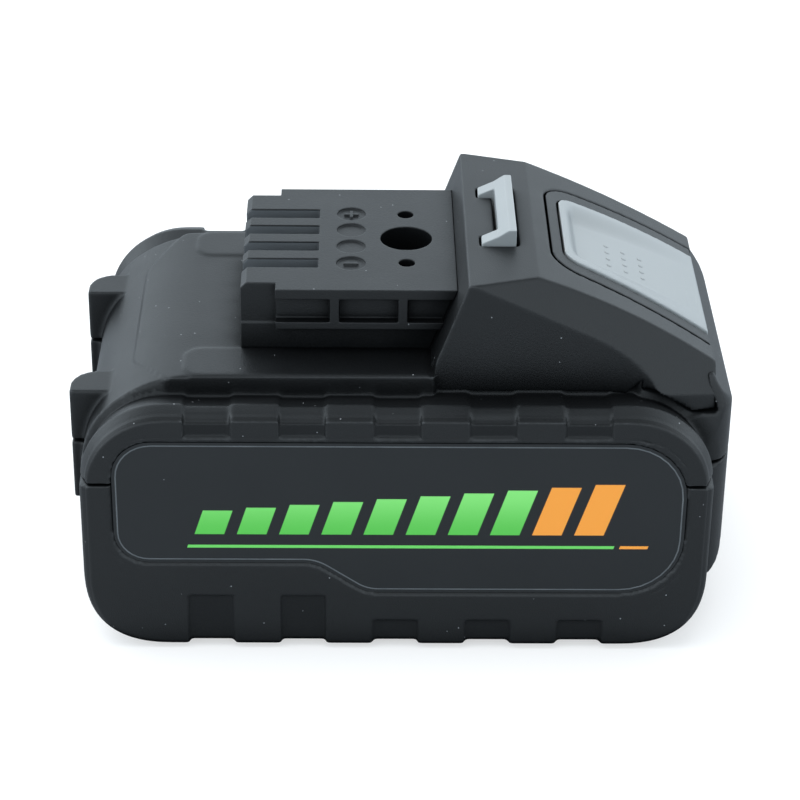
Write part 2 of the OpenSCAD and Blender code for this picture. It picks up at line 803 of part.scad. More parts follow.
module rail_block() {
    lead_y = neck_y - fit_gap / 2;
    color(case_color) difference() {
        union() {
            across(-neck_y, neck_y) translate([block_x - lead_chamfer, deck_z])
                square([block_end - block_x + lead_chamfer, neck_h]);
            across(-lead_y, lead_y) polygon([
                [block_x - lead_chamfer, flange_z], [block_x - lead_chamfer, block_z - lead_chamfer],
                [block_x, block_z], [block_end, block_z], [block_end, flange_z]]);
            across(-block_y, block_y) translate([block_x + lead_l, flange_z])
                square([block_end - block_x - lead_l, block_z - flange_z]);
        }
        hump_solid(0);
        for (y = slot_y) translate([block_x - lead_chamfer - over, y - slot_w / 2, deck_z + slot_floor])
            cube([slot_l + lead_chamfer + over, slot_w, block_h]);
        clip_holes(fit_gap);
        for (i = [0:slot_n - 1]) translate([ring_x, slot_y[i], block_z - ring_deep])
            polarity_recess(i == 0 || i == slot_n - 1, i == slot_n - 1);
        both_sides() for (i = [0:pocket_n - 1])
            translate([block_x + lead_l - pocket_rib / 2 + i * (pocket_l + pocket_rib), -block_y - over,
                block_z - pocket_cover - pocket_h])
                cube([pocket_l, pocket_deep + over, pocket_h]);
        translate([well_x, 0, block_z - well_deep]) cylinder(h = well_deep + over, r = well_r);
        translate([well_x, 0, 0]) cylinder(h = block_z, r = screw_r + hole_gap);
        for (y = [-peg_y, peg_y]) translate([well_x, y, block_z - peg_deep])
            cylinder(h = peg_deep + over, r = peg_r);
    }
}

// A round recess, with a raised bar and a bar across it where the terminal has a polarity
module polarity_recess(bar, cross) {
    difference() {
        cylinder(h = ring_deep + over, r = ring_r);
        if (bar) translate([-sign_l / 2, -sign_w / 2, -over]) cube([sign_l, sign_w, ring_deep + over]);
        if (cross) translate([-sign_w / 2, -sign_l / 2, -over]) cube([sign_w, sign_l, ring_deep + over]);
    }
}

// Side view of the housing, drawn in by a wall
module hump_profile(in) {
    shift = in / cos(front_lean);
    low = plate_top - wing_fall;
    rise = tan(front_lean);
    intersection() {
        polygon([
            [hump_base_x + shift - (deck_z - low) * rise, low], [hump_x2 - in, low],
            [hump_x2 - in, hump_z - in], [hump_x0 + shift - in * rise, hump_z - in]]);
        translate([slope_cx, slope_cz]) circle(slope_r - in, $fn = 360);
    }
}

// The housing's outer form between its two side facets, drawn in by a wall
module hump_solid(in) {
    difference() {
        union() {
            intersection() {
                across(in - side_y, side_y - in) hump_profile(in);
                halfspace_above(deck_z);
            }
            intersection() {
                across(in - wing_y, wing_y - in) hump_profile(in);
                across(-far, far) wing_space(-in);
                linear_extrude(far) wing_plan(in);
            }
        }
        both_sides() facet_space(in);
    }
}

// Plan of the button panel, grown all round and by an extra at its sides, up to its open end
module panel_outline(grow, end, extra = 0) {
    slant = (panel_w1 - panel_w0) / 2 / (hump_x2 - panel_x);
    left = panel_x - grow;
    h0 = panel_w0 / 2 + grow + extra;
    h1 = h0 + slant * (end - left);
    polygon(rounded([[left, -h0, panel_r + grow], [end, -h1, 0], [end, h1, 0], [left, h0, panel_r + grow]]));
}

// Plan of the hook, grown all round
module hook_outline(grow) {
    translate([hook_x - grow, -hook_w / 2 - grow]) square([hook_t + 2 * grow, hook_w + 2 * grow]);
    for (s = [-1, 1]) {
        y = s > 0 ? hook_inner / 2 - grow : -hook_w / 2 - grow;
        translate([hook_x - hook_arm - grow, y])
            square([hook_arm + 2 * grow, (hook_w - hook_inner) / 2 + 2 * grow]);
    }
}

module housing_bosses() {
    for (x = housing_screw_x, y = [-housing_screw_y, housing_screw_y])
        translate([x, y, deck_z]) cylinder(h = hump_h, r = slim_boss_r);
}

module latch_housing() {
    rim = bezel_end + fit_gap;
    stop_x = hook_x + hook_t + stop_r + 2 * fit_gap;
    color(case_color) difference() {
        union() {
            difference() {
                hump_solid(0);
                hump_solid(hump_wall);
                intersection() {
                    across(-far, far) hump_profile(hump_wall);
                    across(hump_wall - side_y, side_y - hump_wall)
                        translate([hump_base_x, deck_z - over]) square([hump_x2, hump_wall + over]);
                }
            }
            intersection() {
                hump_solid(0);
                difference() {
                    hump_solid(bezel_t);
                    hump_solid(bezel_t + hump_wall);
                }
                linear_extrude(far) panel_outline(rim + lip_w, hump_x2, bezel_extra);
            }
            intersection() {
                hump_solid(0);
                housing_bosses();
            }
            for (s = [-1, 1]) translate([stop_x, s * (hook_w / 2 - stop_r), carriage_z + fit_gap])
                cylinder(h = carriage_drop - hump_wall / 2, r = stop_r);
        }
        core_solid(0);
        bulge_solid(0);
        intersection() {
            difference() {
                across(-far, far) hump_profile(-over);
                across(-far, far) hump_profile(bezel_t);
            }
            linear_extrude(far) panel_outline(rim, far, bezel_extra);
        }
        translate([0, 0, deck_z - latch_travel]) linear_extrude(far)
            panel_outline(rim - lip_w, far, bezel_extra);
        translate([0, 0, carriage_z]) linear_extrude(far) hook_outline(fit_gap);
        for (x = housing_screw_x, y = [-housing_screw_y, housing_screw_y])
            translate([x, y, 0]) cylinder(h = deck_z + boss_r * 2, r = screw_r + thread_gap);
    }
}

module button_bezel() {
    color(case_color) intersection() {
        difference() {
            hump_solid(0);
            across(-far, far) hump_profile(bezel_t);
        }
        linear_extrude(far) difference() {
            panel_outline(bezel_end, hump_x2 - fit_gap, bezel_extra);
            panel_outline(fit_gap, far);
        }
        halfspace_above(deck_z);
    }
}

module release_button() {
    pillar = boss_r * 2;
    pillar_x = hook_x + hook_t + carriage_l - pillar;
    color(light_color) difference() {
        union() {
            intersection() {
                difference() {
                    across(-far, far) hump_profile(-panel_proud);
                    across(-far, far) hump_profile(panel_t - panel_proud);
                }
                linear_extrude(far) panel_outline(0, hump_x2 - fit_gap);
                halfspace_above(deck_z - panel_t);
            }
            intersection() {
                across(-pillar, pillar) hump_profile(0);
                translate([pillar_x, -pillar, carriage_z]) cube([pillar, 2 * pillar, hump_h]);
            }
        }
        dish();
    }
}

// Shallow hollow in the button panel, which follows the slope
module dish() {
    rim = panel_r / 2;
    intersection() {
        across(-far, far) difference() {
            hump_profile(-over);
            hump_profile(0);
        }
        linear_extrude(far) panel_outline(-rim, hump_x2 - panel_r);
    }
}

module latch_slide() {
    bar_x1 = hook_x + hook_t;
    top = hump_z + hook_h;
    tip_x = hook_x - hook_arm;
    root = hump_z - hump_wall - latch_travel;
    color(light_color) difference() {
        union() {
            across(-hook_w / 2, hook_w / 2) polygon([
                [hook_x, carriage_z - carriage_t], [bar_x1, carriage_z - carriage_t], [bar_x1, top],
                [bar_x1 - hook_ramp, top], [hook_x, top - hook_ramp]]);
            both_sides() across(hook_inner / 2, hook_w / 2) polygon([
                [tip_x, root + hook_arm], [hook_x + over, root], [hook_x + over, top - hook_ramp],
                [hook_x, top - hook_ramp], [tip_x, hump_z + fit_gap]]);
            translate([hook_x, -hook_w / 2, carriage_z - carriage_t])
                cube([hook_t + carriage_l, hook_w, carriage_t]);
            for (s = [-1, 1]) translate([post_x, s * post_y, sleeve_z])
                cylinder(h = carriage_t + 2 * sleeve_low, r = sleeve_r);
        }
        for (s = [-1, 1]) translate([post_x, s * post_y, 0]) cylinder(h = hump_z, r = post_r + guide_gap);
    }
}

module latch_spring(i) {
    inner = post_r + fit_gap;
    low = frame_z + frame_t;
    color(metal_color) translate([post_x, (2 * i - 3) * post_y, low]) difference() {
        cylinder(h = sleeve_z - low, r = inner + spring_wire);
        translate([0, 0, -over]) cylinder(h = sleeve_z - low + 2 * over, r = inner);
    }
}

module front_label() {
    color("#33373a") across(-recess_y - label_t, -recess_y) label_outline(0);
}

module rear_label() {
    color("#33373a") across(recess_y, recess_y + label_t) label_outline(0);
}

module cell(i) {
    c = (i - 1) % columns;
    r = floor((i - 1) / columns);
    color("#3f7fb5") translate([column_x[c], cell_end, row_z[r]]) rotate([quarter, 0, 0])
        cylinder(h = cell_l, r = cell_r);
}

module holder_outline(grow) {
    rounded_box([holder_x0 - grow, holder_z], [holder_x1 + grow, frame_z], holder_round);
}

module cell_holder(y_from) {
    color("#4a4d50") difference() {
        across(y_from, y_from + holder_t) holder_outline(0);
        for (x = column_x, z = row_z) translate([x, far, z]) rotate([quarter, 0, 0])
            cylinder(h = 2 * far, r = cell_r + cell_fit);
    }
}

module front_cell_holder() {
    cell_holder(-cell_end);
}

module rear_cell_holder() {
    cell_holder(cell_end - holder_t);
}

module strap(i) {
    front_n = len(front_groups);
    is_front = i <= front_n;
    group = is_front ? front_groups[i - 1] : rear_groups[i - 1 - front_n];
    lo = [column_x[group[0]] - strap_half, row_z[0] - strap_half];
    hi = [column_x[group[1]] + strap_half, row_z[rows - 1] + strap_half];
    y = is_front ? -strap_y : cell_end;
    color(metal_color) across(y, y + strap_t) rounded_box(lo, hi, strap_half / 2);
}

module front_sheet() {
    color("#c9c2a5") across(-sheet_y, -strap_y) holder_outline(0);
}

module rear_sheet() {
    color("#c9c2a5") across(strap_y, sheet_y) holder_outline(0);
}

module floor_pad() {
    color("#55585a") translate([column_x[0], -cell_end, wall])
        cube([column_x[columns - 1] - column_x[0], cell_l, pad_t]);
}

module top_frame() {
    y = cell_end - strap_t;
    color("#4a4d50") difference() {
        union() {
            translate([column_x[0] - cell_r / 2, -y, frame_z])
                cube([column_x[columns - 1] - column_x[0] + cell_r, 2 * y, frame_t]);
            for (p = board_screw_at) translate([p[0], p[1], frame_z])
                cylinder(h = frame_t + standoff_h, r = standoff_r);
            translate([well_x, 0, frame_z]) cylinder(h = roof_z - frame_z, r = slim_boss_r);
            for (s = [-1, 1]) translate([post_x, s * post_y, frame_z])
                cylinder(h = carriage_z + latch_travel - frame_z, r = post_r);
        }
        for (p = board_screw_at) translate([p[0], p[1], frame_z + over / 2])
            cylinder(h = far, r = board_screw_r + thread_gap);
        translate([well_x, 0, frame_z + over / 2]) cylinder(h = far, r = screw_r + thread_gap);
        translate([bead_x - bead_r - fit_gap, bead_y - fit_gap, frame_z - over])
            cube([2 * bead_r + 2 * fit_gap, bead_l + 2 * fit_gap, frame_t + 2 * over]);
    }
}

module circuit_board() {
    color(board_color) difference() {
        translate([board_x, -board_w / 2, board_z]) cube([board_x1 - board_x, board_w, board_t]);
        for (p = board_screw_at) translate([p[0], p[1], 0]) cylinder(h = far, r = board_screw_r + hole_gap);
        translate([well_x, 0, 0]) cylinder(h = far, r = boss_r);
    }
}

module board_chips() {
    color("#18191b") {
        for (i = [0:power_n - 1]) {
            y = (i - (power_n - 1) / 2) * power_pitch;
            translate([block_x - 3 * power_l / 2, y - power_w / 2, board_top])
                cube([power_l, power_w, chip_h]);
        }
        translate([clip_x + clip_l, slot_pitch, board_top]) cube([logic_l, logic_l, chip_h]);
    }
}

module contact_clip(i) {
    top = block_z - clip_drop;
    color(metal_color) translate([clip_x - clip_l / 2, slot_y[i - 1] - clip_w / 2, board_top]) {
        cube([clip_l, clip_w, clip_t]);
        for (y = [0, clip_w - clip_t]) translate([0, y, 0]) cube([clip_l, clip_t, top - board_top]);
    }
}

module thermistor() {
    color("#a2662f") translate([bead_x, bead_y + bead_l, cell_top + bead_r]) rotate([quarter, 0, 0])
        cylinder(h = bead_l, r = bead_r);
}

// A power lead: up from a strap, over the frame's edge, and up to the board's underside
module lead_strip(x_from, x_to, y_in) {
    low = row_z[rows - 1] + strap_half;
    deck = frame_z + frame_t;
    translate([x_from - lead_w / 2, -strap_y, low]) cube([lead_w, strap_t, deck + lead_t - low]);
    translate([x_from - lead_w / 2, -strap_y, deck]) cube([lead_w, strap_y - y_in, lead_t]);
    translate([min(x_from, x_to) - lead_w / 2, -y_in - lead_w, deck])
        cube([abs(x_to - x_from) + lead_w, lead_w, lead_t]);
    translate([x_to - lead_w / 2, -y_in - lead_t, deck]) cube([lead_w, lead_t, standoff_h]);
}

module negative_lead() {
    color(metal_color) lead_strip(column_x[0], column_x[0], board_w / 2 - over + fit_gap);
}

module positive_lead() {
    color("#b5462f") mirror([0, 1, 0])
        lead_strip(column_x[columns - 1], board_x1 - lead_w * 2, board_w / 2 - over + fit_gap);
}

module screw(shank, head, height, reach) {
    cylinder(h = reach, r = shank);
    translate([0, 0, -height]) difference() {
        cylinder(h = height, r = head);
        translate([0, 0, -over]) cylinder(h = height / 2 + over, r = shank, $fn = 6);
    }
}

module case_screws() {
    color("#3a3a3c") boss_places() translate([0, 0, seat_z])
        screw(screw_r, head_r, head_h, seam_z + screw_reach - seat_z);
}

module housing_screws() {
    color("#3a3a3c") for (x = housing_screw_x, y = [-housing_screw_y, housing_screw_y])
        translate([x, y, roof_z]) screw(screw_r, head_r, head_h, wall + boss_r);
}

module block_screw() {
    color("#3a3a3c") translate([well_x, 0, block_z - well_deep]) mirror([0, 0, 1])
        screw(screw_r, head_r, head_h, block_z - well_deep - frame_z - over);
}

module board_screws() {
    color("#8d8f92") for (p = board_screw_at) translate([p[0], p[1], board_top]) mirror([0, 0, 1])
        screw(board_screw_r, 2 * board_screw_r, chip_h, board_t + standoff_h);
}

lower_shell();
upper_shell();
rail_block();
latch_housing();
button_bezel();
release_button();
latch_slide();
front_label();
rear_label();
front_cell_holder();
rear_cell_holder();
front_sheet();
rear_sheet();
floor_pad();
top_frame();
circuit_board();
board_chips();
thermistor();
positive_lead();
negative_lead();
case_screws();
housing_screws();
block_screw();
board_screws();
for (i = [1:spring_n]) latch_spring(i);
for (i = [1:cell_n]) cell(i);
for (i = [1:strap_n]) strap(i);
for (i = [1:slot_n]) contact_clip(i);
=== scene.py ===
# %% [markdown]
# # A slide-on battery pack, dressed for the camera
#
# The pack is two black mouldings that meet at a seam, a rail block with contact slots, a faceted
# latch housing, a light grey hook and release button, and a film label on each side.
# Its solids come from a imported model, which is the fixed frame of everything here: one unit is a
# metre, the pack rests on z = 0, and the side with the camera faces -Y.

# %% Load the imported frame
import math

import bmesh
import bpy
import numpy as np
from mathutils import Matrix, Vector


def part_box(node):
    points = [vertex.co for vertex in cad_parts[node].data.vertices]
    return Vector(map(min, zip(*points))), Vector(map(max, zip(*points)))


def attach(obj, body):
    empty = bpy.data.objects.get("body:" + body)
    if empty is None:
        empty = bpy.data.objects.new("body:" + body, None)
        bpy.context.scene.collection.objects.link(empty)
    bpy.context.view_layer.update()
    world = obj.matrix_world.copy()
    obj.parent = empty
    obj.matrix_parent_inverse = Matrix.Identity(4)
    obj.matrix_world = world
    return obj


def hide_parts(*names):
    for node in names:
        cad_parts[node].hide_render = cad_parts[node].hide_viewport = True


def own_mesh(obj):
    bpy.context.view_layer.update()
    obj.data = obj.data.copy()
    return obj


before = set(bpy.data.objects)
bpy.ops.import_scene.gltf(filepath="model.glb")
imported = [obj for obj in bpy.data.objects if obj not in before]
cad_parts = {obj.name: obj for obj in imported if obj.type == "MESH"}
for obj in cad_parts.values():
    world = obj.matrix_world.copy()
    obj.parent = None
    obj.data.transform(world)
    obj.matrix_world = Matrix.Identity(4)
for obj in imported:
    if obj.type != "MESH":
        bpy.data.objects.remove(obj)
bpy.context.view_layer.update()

MM = 0.001
SIDES = ("front", "rear")

# %% [markdown]
# ## The camera first
#
# A picture is only comparable with the real pack if it is taken from the same place. The place, the
# pitch, the small yaw and roll, and the lens were solved from corners whose sizes are known. A
# camera looks along its own -Z, so its matrix is built from the three directions right, up and back.

# %% Place the camera
CAMERA_PITCH, CAMERA_YAW, CAMERA_ROLL = 0.52293, 0.01723, 0.01320
CAMERA_AT = Vector((-0.00797, -0.43469, 0.28058))
LENS_MM, SENSOR_MM = 121.17, 36


def placed(name, data):
    thing = bpy.data.objects.new(name, data)
    bpy.context.scene.collection.objects.link(thing)
    return thing


ahead = Vector((math.sin(CAMERA_YAW) * math.cos(CAMERA_PITCH),
                math.cos(CAMERA_YAW) * math.cos(CAMERA_PITCH), -math.sin(CAMERA_PITCH)))
level = Vector((math.cos(CAMERA_YAW), -math.sin(CAMERA_YAW), 0))
above = level.cross(ahead)
right = math.cos(CAMERA_ROLL) * level + math.sin(CAMERA_ROLL) * above
top = math.cos(CAMERA_ROLL) * above - math.sin(CAMERA_ROLL) * level

camera = placed("camera", bpy.data.cameras.new("camera"))
camera.matrix_world = Matrix.Translation(CAMERA_AT) @ Matrix((right, top, -ahead)).transposed().to_4x4()
camera.data.lens, camera.data.sensor_width = LENS_MM, SENSOR_MM
bpy.context.scene.camera = camera
print("camera at", tuple(round(v, 4) for v in CAMERA_AT), "lens", LENS_MM, "mm")

# %% [markdown]
# ## Shader sums that read like sums
#
# A node tree can be clicked together, but a finish is easier to follow as an expression. The class
# below wraps one socket. Sums on it add Math nodes, `rise` and `band` are soft steps, `blend` mixes
# two colours with a Mix node, and `node` adds any other node: its settings first, then the values or
# links of its sockets.

# %% A socket that can be added, multiplied and compared
class Wire:
    def __init__(self, tree, socket=None):
        self.tree, self.socket = tree, socket

    def node(self, kind, settings=None, values=None, out=0):
        made = self.tree.nodes.new(kind)
        for name, value in (settings or {}).items():
            setattr(made, name, value)
        for name, value in (values or {}).items():
            if isinstance(value, Wire):
                self.tree.links.new(value.socket, made.inputs[name])
            else:
                made.inputs[name].default_value = value
        return Wire(self.tree, made.outputs[out])

    def outputs(self):
        return [Wire(self.tree, socket) for socket in self.socket.node.outputs]

    def math(self, operation, *terms):
        return self.node("ShaderNodeMath", {"operation": operation}, dict(enumerate(terms)))

    def __add__(self, other): return self.math("ADD", self, other)
    def __radd__(self, other): return self.math("ADD", other, self)
    def __sub__(self, other): return self.math("SUBTRACT", self, other)
    def __rsub__(self, other): return self.math("SUBTRACT", other, self)
    def __mul__(self, other): return self.math("MULTIPLY", self, other)
    def __rmul__(self, other): return self.math("MULTIPLY", other, self)
    def __truediv__(self, other): return self.math("DIVIDE", self, other)
    def __gt__(self, other): return self.math("GREATER_THAN", self, other)
    def __lt__(self, other): return self.math("LESS_THAN", self, other)
    def __abs__(self): return self.math("ABSOLUTE", self)

    def rise(self, low, high):
        return self.node("ShaderNodeMapRange", {"interpolation_type": "SMOOTHSTEP"},
                         {"Value": self, "From Min": low, "From Max": high})

    def band(self, low, high, soft):
        return self.rise(low, low + soft) * (1 - self.rise(high - soft, high))

    def blend(self, first, second):
        return self.node("ShaderNodeMix", {"data_type": "RGBA"}, {0: self, 6: first, 7: second}, out=2)


# %% [markdown]
# ## Starting a finish
#
# Every finish starts alike: a material with a Principled shader, the place on the piece in metres,
# and some noise at a real size. The place comes from the Object coordinates. Each piece keeps the
# pack's frame in its mesh, so they are true metres, and they ride along when the latch moves.

# %% One start for every finish
class Finish:
    def __init__(self, name, rough=0.5, metal=0.0):
        self.material = bpy.data.materials.new(name)
        self.material.use_nodes = True
        tree = self.material.node_tree
        self.shader = tree.nodes["Principled BSDF"]
        self.shader.inputs["Roughness"].default_value = rough
        self.shader.inputs["Metallic"].default_value = metal
        self.wire = Wire(tree)
        self.place = self.wire.node("ShaderNodeTexCoord", out="Object")

    def axes(self):
        return self.wire.node("ShaderNodeSeparateXYZ", None, {0: self.place}).outputs()

    def scaled(self, size, stretch=(1, 1, 1)):
        return self.wire.node("ShaderNodeVectorMath", {"operation": "MULTIPLY"},
                              {0: self.place, 1: tuple(s / size for s in stretch)})

    def noise(self, size, detail=2.0, stretch=(1, 1, 1)):
        return self.wire.node("ShaderNodeTexNoise", None,
                              {"Vector": self.scaled(size, stretch), "Scale": 1.0, "Detail": detail})

    def specks(self, spacing, radius, share):
        near = self.wire.node("ShaderNodeTexVoronoi", None,
                              {"Vector": self.scaled(spacing), "Scale": 1.0}, out="Distance")
        cell = Wire(self.wire.tree, near.socket.node.outputs["Color"])
        pick = self.wire.node("ShaderNodeSeparateColor", None, {0: cell})
        return (near < radius / spacing) * (pick < share)

    def edge(self):
        return self.wire.node("ShaderNodeAttribute", {"attribute_name": "edge"}, out="Fac")

    def shaded(self, reach):
        return 1 - self.wire.node("ShaderNodeAmbientOcclusion", {"samples": 8}, {"Distance": reach}, out="AO")

    # Mixes a plain matt colour over the gloss by share: this is how painted shade is laid on.
    def mix_in_painted_shade(self, share, colour):
        matt = self.wire.node("ShaderNodeBsdfDiffuse", None, {"Color": colour})
        gloss = Wire(self.wire.tree, self.shader.outputs["BSDF"])
        mixed = self.wire.node("ShaderNodeMixShader", None, {0: share, 1: gloss, 2: matt})
        self.wire.tree.links.new(mixed.socket, self.wire.tree.nodes["Material Output"].inputs["Surface"])

    def put(self, colour=None, rough=None, height=None, depth=0.0, strength=1.0):
        links = self.wire.tree.links
        if colour is not None:
            links.new(colour.socket, self.shader.inputs["Base Color"])
        if rough is not None:
            links.new(rough.socket, self.shader.inputs["Roughness"])
        if height is not None:
            bump = self.wire.node("ShaderNodeBump", None,
                                  {"Height": height, "Distance": depth, "Strength": strength})
            links.new(bump.socket, self.shader.inputs["Normal"])
        return self.material


# %% [markdown]
# ## Black moulded plastic
#
# The case is a glass-filled nylon or ABS, moulded in a spark-eroded tool, so it is nearly black and
# shows a fine, even grain. Nearly all the grey that the eye sees on it is the room's reflection.
# So the colour stays very dark, the roughness is middling, and a noise of a quarter millimetre gives
# the grain. Handling polishes and greys the edges, and the same edges also get a painted highlight.
# A little dust lies on it. Corners, crevices and recesses get painted shade: an Ambient Occlusion
# node finds them, and a Mix Shader puts a plain matt black there. The insides of the rail block's
# slots are painted a lighter grey and are left out of the painted shade.

# %% The black plastic, for the case, the housing and the rail block
FACE_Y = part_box("lower_shell")[1].y
SUNK_FROM, SUNK_TO, SUNK_SHADE = FACE_Y - 1.0 * MM, FACE_Y - 0.3 * MM, 0.3
BLOCK_TOP, SLOT_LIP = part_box("rail_block")[1].z, 0.25 * MM
SLOT_PITCH, SLOT_HALF, SLOT_END = 6.6 * MM, 1.78 * MM, -15.4 * MM
GRAIN, CLOUD, WEAR_AND_HIGHLIGHT_PATCH, SHADE_REACH = 0.25 * MM, 9 * MM, 1.1 * MM, 10 * MM
DUST_GAP, DUST_R = 2.4 * MM, 0.12 * MM
DARK_BLACK, LIGHT_BLACK = (0.0020, 0.0023, 0.0026), (0.0034, 0.0038, 0.0043)
SHADED_BLACK, WORN_AND_HIGHLIGHT_GREY = (0.004, 0.0043, 0.0046, 1), (0.028, 0.030, 0.032, 1)
DUST_GREY, SLOT_LIGHT_GREY = (0.26, 0.27, 0.28, 1), (0.085, 0.092, 0.098, 1)


def toned(colour, tone):
    return tuple(c * tone for c in colour) + (1,)


def black_plastic(name, dust, tone=1.0, slots=False):
    f = Finish(name)
    x, y, z = f.axes()
    grain, cloud = f.noise(GRAIN, 1.0), f.noise(CLOUD, 3.0)
    # Edges are greyed partly as real wear and partly as a painted highlight, broken up by noise.
    worn_and_highlit = f.edge().rise(0.15, 0.9) * f.noise(WEAR_AND_HIGHLIGHT_PATCH, 3.0).rise(0.38, 0.66)
    colour = worn_and_highlit.blend(cloud.blend(toned(DARK_BLACK, tone), toned(LIGHT_BLACK, tone)), WORN_AND_HIGHLIGHT_GREY)
    colour = f.specks(DUST_GAP, DUST_R, dust).blend(colour, DUST_GREY)
    # Painted shade: where the Ambient Occlusion node finds the surface closed in, a plain matt black is mixed
    # in.
    shade = f.shaded(SHADE_REACH).rise(0.12, 0.66) * 0.9
    if slots:
        from_slot = abs(abs(abs(y) - SLOT_PITCH) - SLOT_PITCH / 2)
        inside = (from_slot < SLOT_HALF) * (x < SLOT_END) * (z < BLOCK_TOP - SLOT_LIP)
        # The slot insides are painted a lighter grey, and the painted shade is taken off there.
        colour = inside.blend(colour, SLOT_LIGHT_GREY)
        shade = shade * (1 - inside)
    else:
        # Painted shade: the narrow recessed band round the label gets more matt black mixed in.
        sunk = (abs(y) > SUNK_FROM) * (abs(y) < SUNK_TO)
        shade = shade.math("MAXIMUM", shade, sunk * SUNK_SHADE)
    f.mix_in_painted_shade(shade, SHADED_BLACK)
    return f.put(colour, 0.36 + cloud * 0.08 + worn_and_highlit * 0.1 + grain * 0.10, grain, 0.05 * MM, 0.8)


case_black = black_plastic("case black plastic", dust=0.7)
housing_black = black_plastic("housing black plastic", dust=0.15, tone=1.1)
block_black = black_plastic("rail block black plastic", dust=0.4, slots=True)
print("finishes:", case_black.name, "and", housing_black.name, "and", block_black.name)

# %% [markdown]
# ## Soft moulded edges
#
# Nothing that leaves a mould has a knife edge: every corner has a radius of a few tenths of a
# millimetre, and it is this radius that catches the light. A Bevel modifier is the usual way, but it
# trips over steps that are smaller than the bevel. Rebuilding the skin from fine voxels and
# smoothing it rounds every edge alike. Wear and the painted edge highlight need to know where the
# edges are: a point that stands out further than its neighbours, along its own normal, lies on one.

# %% Read a mesh's points, move them, and measure its edges
TINY, FULL_EDGE = 1e-12, 0.25


def points_of(mesh):
    co, normal = np.empty((len(mesh.vertices), 3)), np.empty((len(mesh.vertices), 3))
    mesh.vertices.foreach_get("co", co.ravel())
    mesh.vertices.foreach_get("normal", normal.ravel())
    return co, normal


def move_points(mesh, co):
    mesh.vertices.foreach_set("co", co.ravel())
    mesh.update()


def unit(v):
    return v / np.maximum(np.linalg.norm(v, axis=1, keepdims=True), TINY)


def measure_edges(mesh):
    co, normal = points_of(mesh)
    pair = np.empty((len(mesh.edges), 2), int)
    mesh.edges.foreach_get("vertices", pair.ravel())
    along = unit(co[pair[:, 1]] - co[pair[:, 0]])
    out, count = np.zeros(len(co)), np.zeros(len(co))
    for end, sign in ((0, -1), (1, 1)):
        np.add.at(out, pair[:, end], sign * (along * normal[pair[:, end]]).sum(1))
        np.add.at(count, pair[:, end], 1)
    value = np.clip(out / np.maximum(count, 1) / FULL_EDGE, 0, 1)
    mesh.attributes.new("edge", "FLOAT", "POINT").data.foreach_set("value", value.astype(np.float32))


# %% [markdown]
# The new skin is baked twice: once before its points are shifted, and once after the flat parts, which
# need few faces, are thinned out. The piece then rides on its body in place of the plain node.

# %% Rebuild a node's skin with soft edges
WELD, EVEN_ROUNDS = 1e-6, 4


def baked(piece):
    shape = bpy.data.meshes.new_from_object(piece.evaluated_get(bpy.context.evaluated_depsgraph_get()))
    piece.modifiers.clear()
    old, piece.data = piece.data, shape
    bpy.data.meshes.remove(old)


def dressed(mesh, finish):
    mesh.materials.clear()
    mesh.materials.append(finish)


def smoothed(piece, name, rounds):
    smooth = piece.modifiers.new(name, "SMOOTH")
    smooth.factor, smooth.iterations = 0.5, rounds


def moulded(node, body, finish, voxel, faces, shape=None, rounds=6):
    piece = placed(node + "_moulding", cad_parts[node].data.copy())
    piece.modifiers.new("weld", "WELD").merge_threshold = WELD
    skin = piece.modifiers.new("skin", "REMESH")
    skin.mode, skin.voxel_size = "VOXEL", voxel
    smoothed(piece, "smooth", rounds)
    baked(piece)
    if shape:
        shape(piece.data)
        smoothed(piece, "even", EVEN_ROUNDS)
    thin = piece.modifiers.new("thin", "DECIMATE")
    thin.ratio = min(1.0, faces / (2 * len(piece.data.polygons)))
    baked(piece)
    measure_edges(piece.data)
    piece.data.shade_smooth()
    piece.modifiers.new("even shading", "WEIGHTED_NORMAL").weight = 80
    dressed(piece.data, finish)
    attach(piece, body)
    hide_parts(node)
    print(piece.name, "has", len(piece.data.polygons), "faces")


# %% [markdown]
# ## Where the label sits
#
# The label's place on the shells is read from the label's own solid: the edges that only one of its
# outer faces uses make a ring, and walking along them gives the outline. It is used twice, to bring
# the shells up to the label's edge and to lay the label's border.

# %% Read the label's outline
ON_FACE = 1e-5


def outline(node):
    low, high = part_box(node)
    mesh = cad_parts[node].data
    flat = low.y if node.startswith("front") else high.y
    at = [tuple(np.round((v.co.x, v.co.z), 7)) for v in mesh.vertices]
    edges = {}
    for face in mesh.polygons:
        if all(abs(mesh.vertices[v].co.y - flat) < ON_FACE for v in face.vertices):
            for key in face.edge_keys:
                ends = tuple(sorted(at[v] for v in key))
                edges[ends] = edges.get(ends, 0) + 1
    after = {}
    for (a, b), used in edges.items():
        if used == 1:
            after.setdefault(a, []).append(b)
            after.setdefault(b, []).append(a)
    start = min(after)
    path = [start, after[start][0]]
    while len(path) < len(after):
        path.append(next(p for p in after[path[-1]] if p != path[-2]))
    points = np.array(path)
    area = (points[:, 0] * np.roll(points[:, 1], -1) - np.roll(points[:, 0], -1) * points[:, 1]).sum()
    return (points if area > 0 else points[::-1]), flat


LABEL_RING = outline("front_label")[0]
print("label outline:", len(LABEL_RING), "points")

# %% [markdown]
# ## Small forms of the mouldings
#
# Some forms are easier to give to the fine skin than to the solid. The shells close up to the label's
# edge, the grip tabs fall into a gutter along the deck and are chamfered further in, the lower
# corners are a little fuller than a circle, and the latch end leans in under the housing. The
# housing's side walls reach down into that gutter, and the deck's edge is tucked in behind them. Each
# is a smooth shift of the points, by place alone, so both sides of the pack change alike.
#
# A pair of numbers below says where a form starts and how long its run is, until it is full.

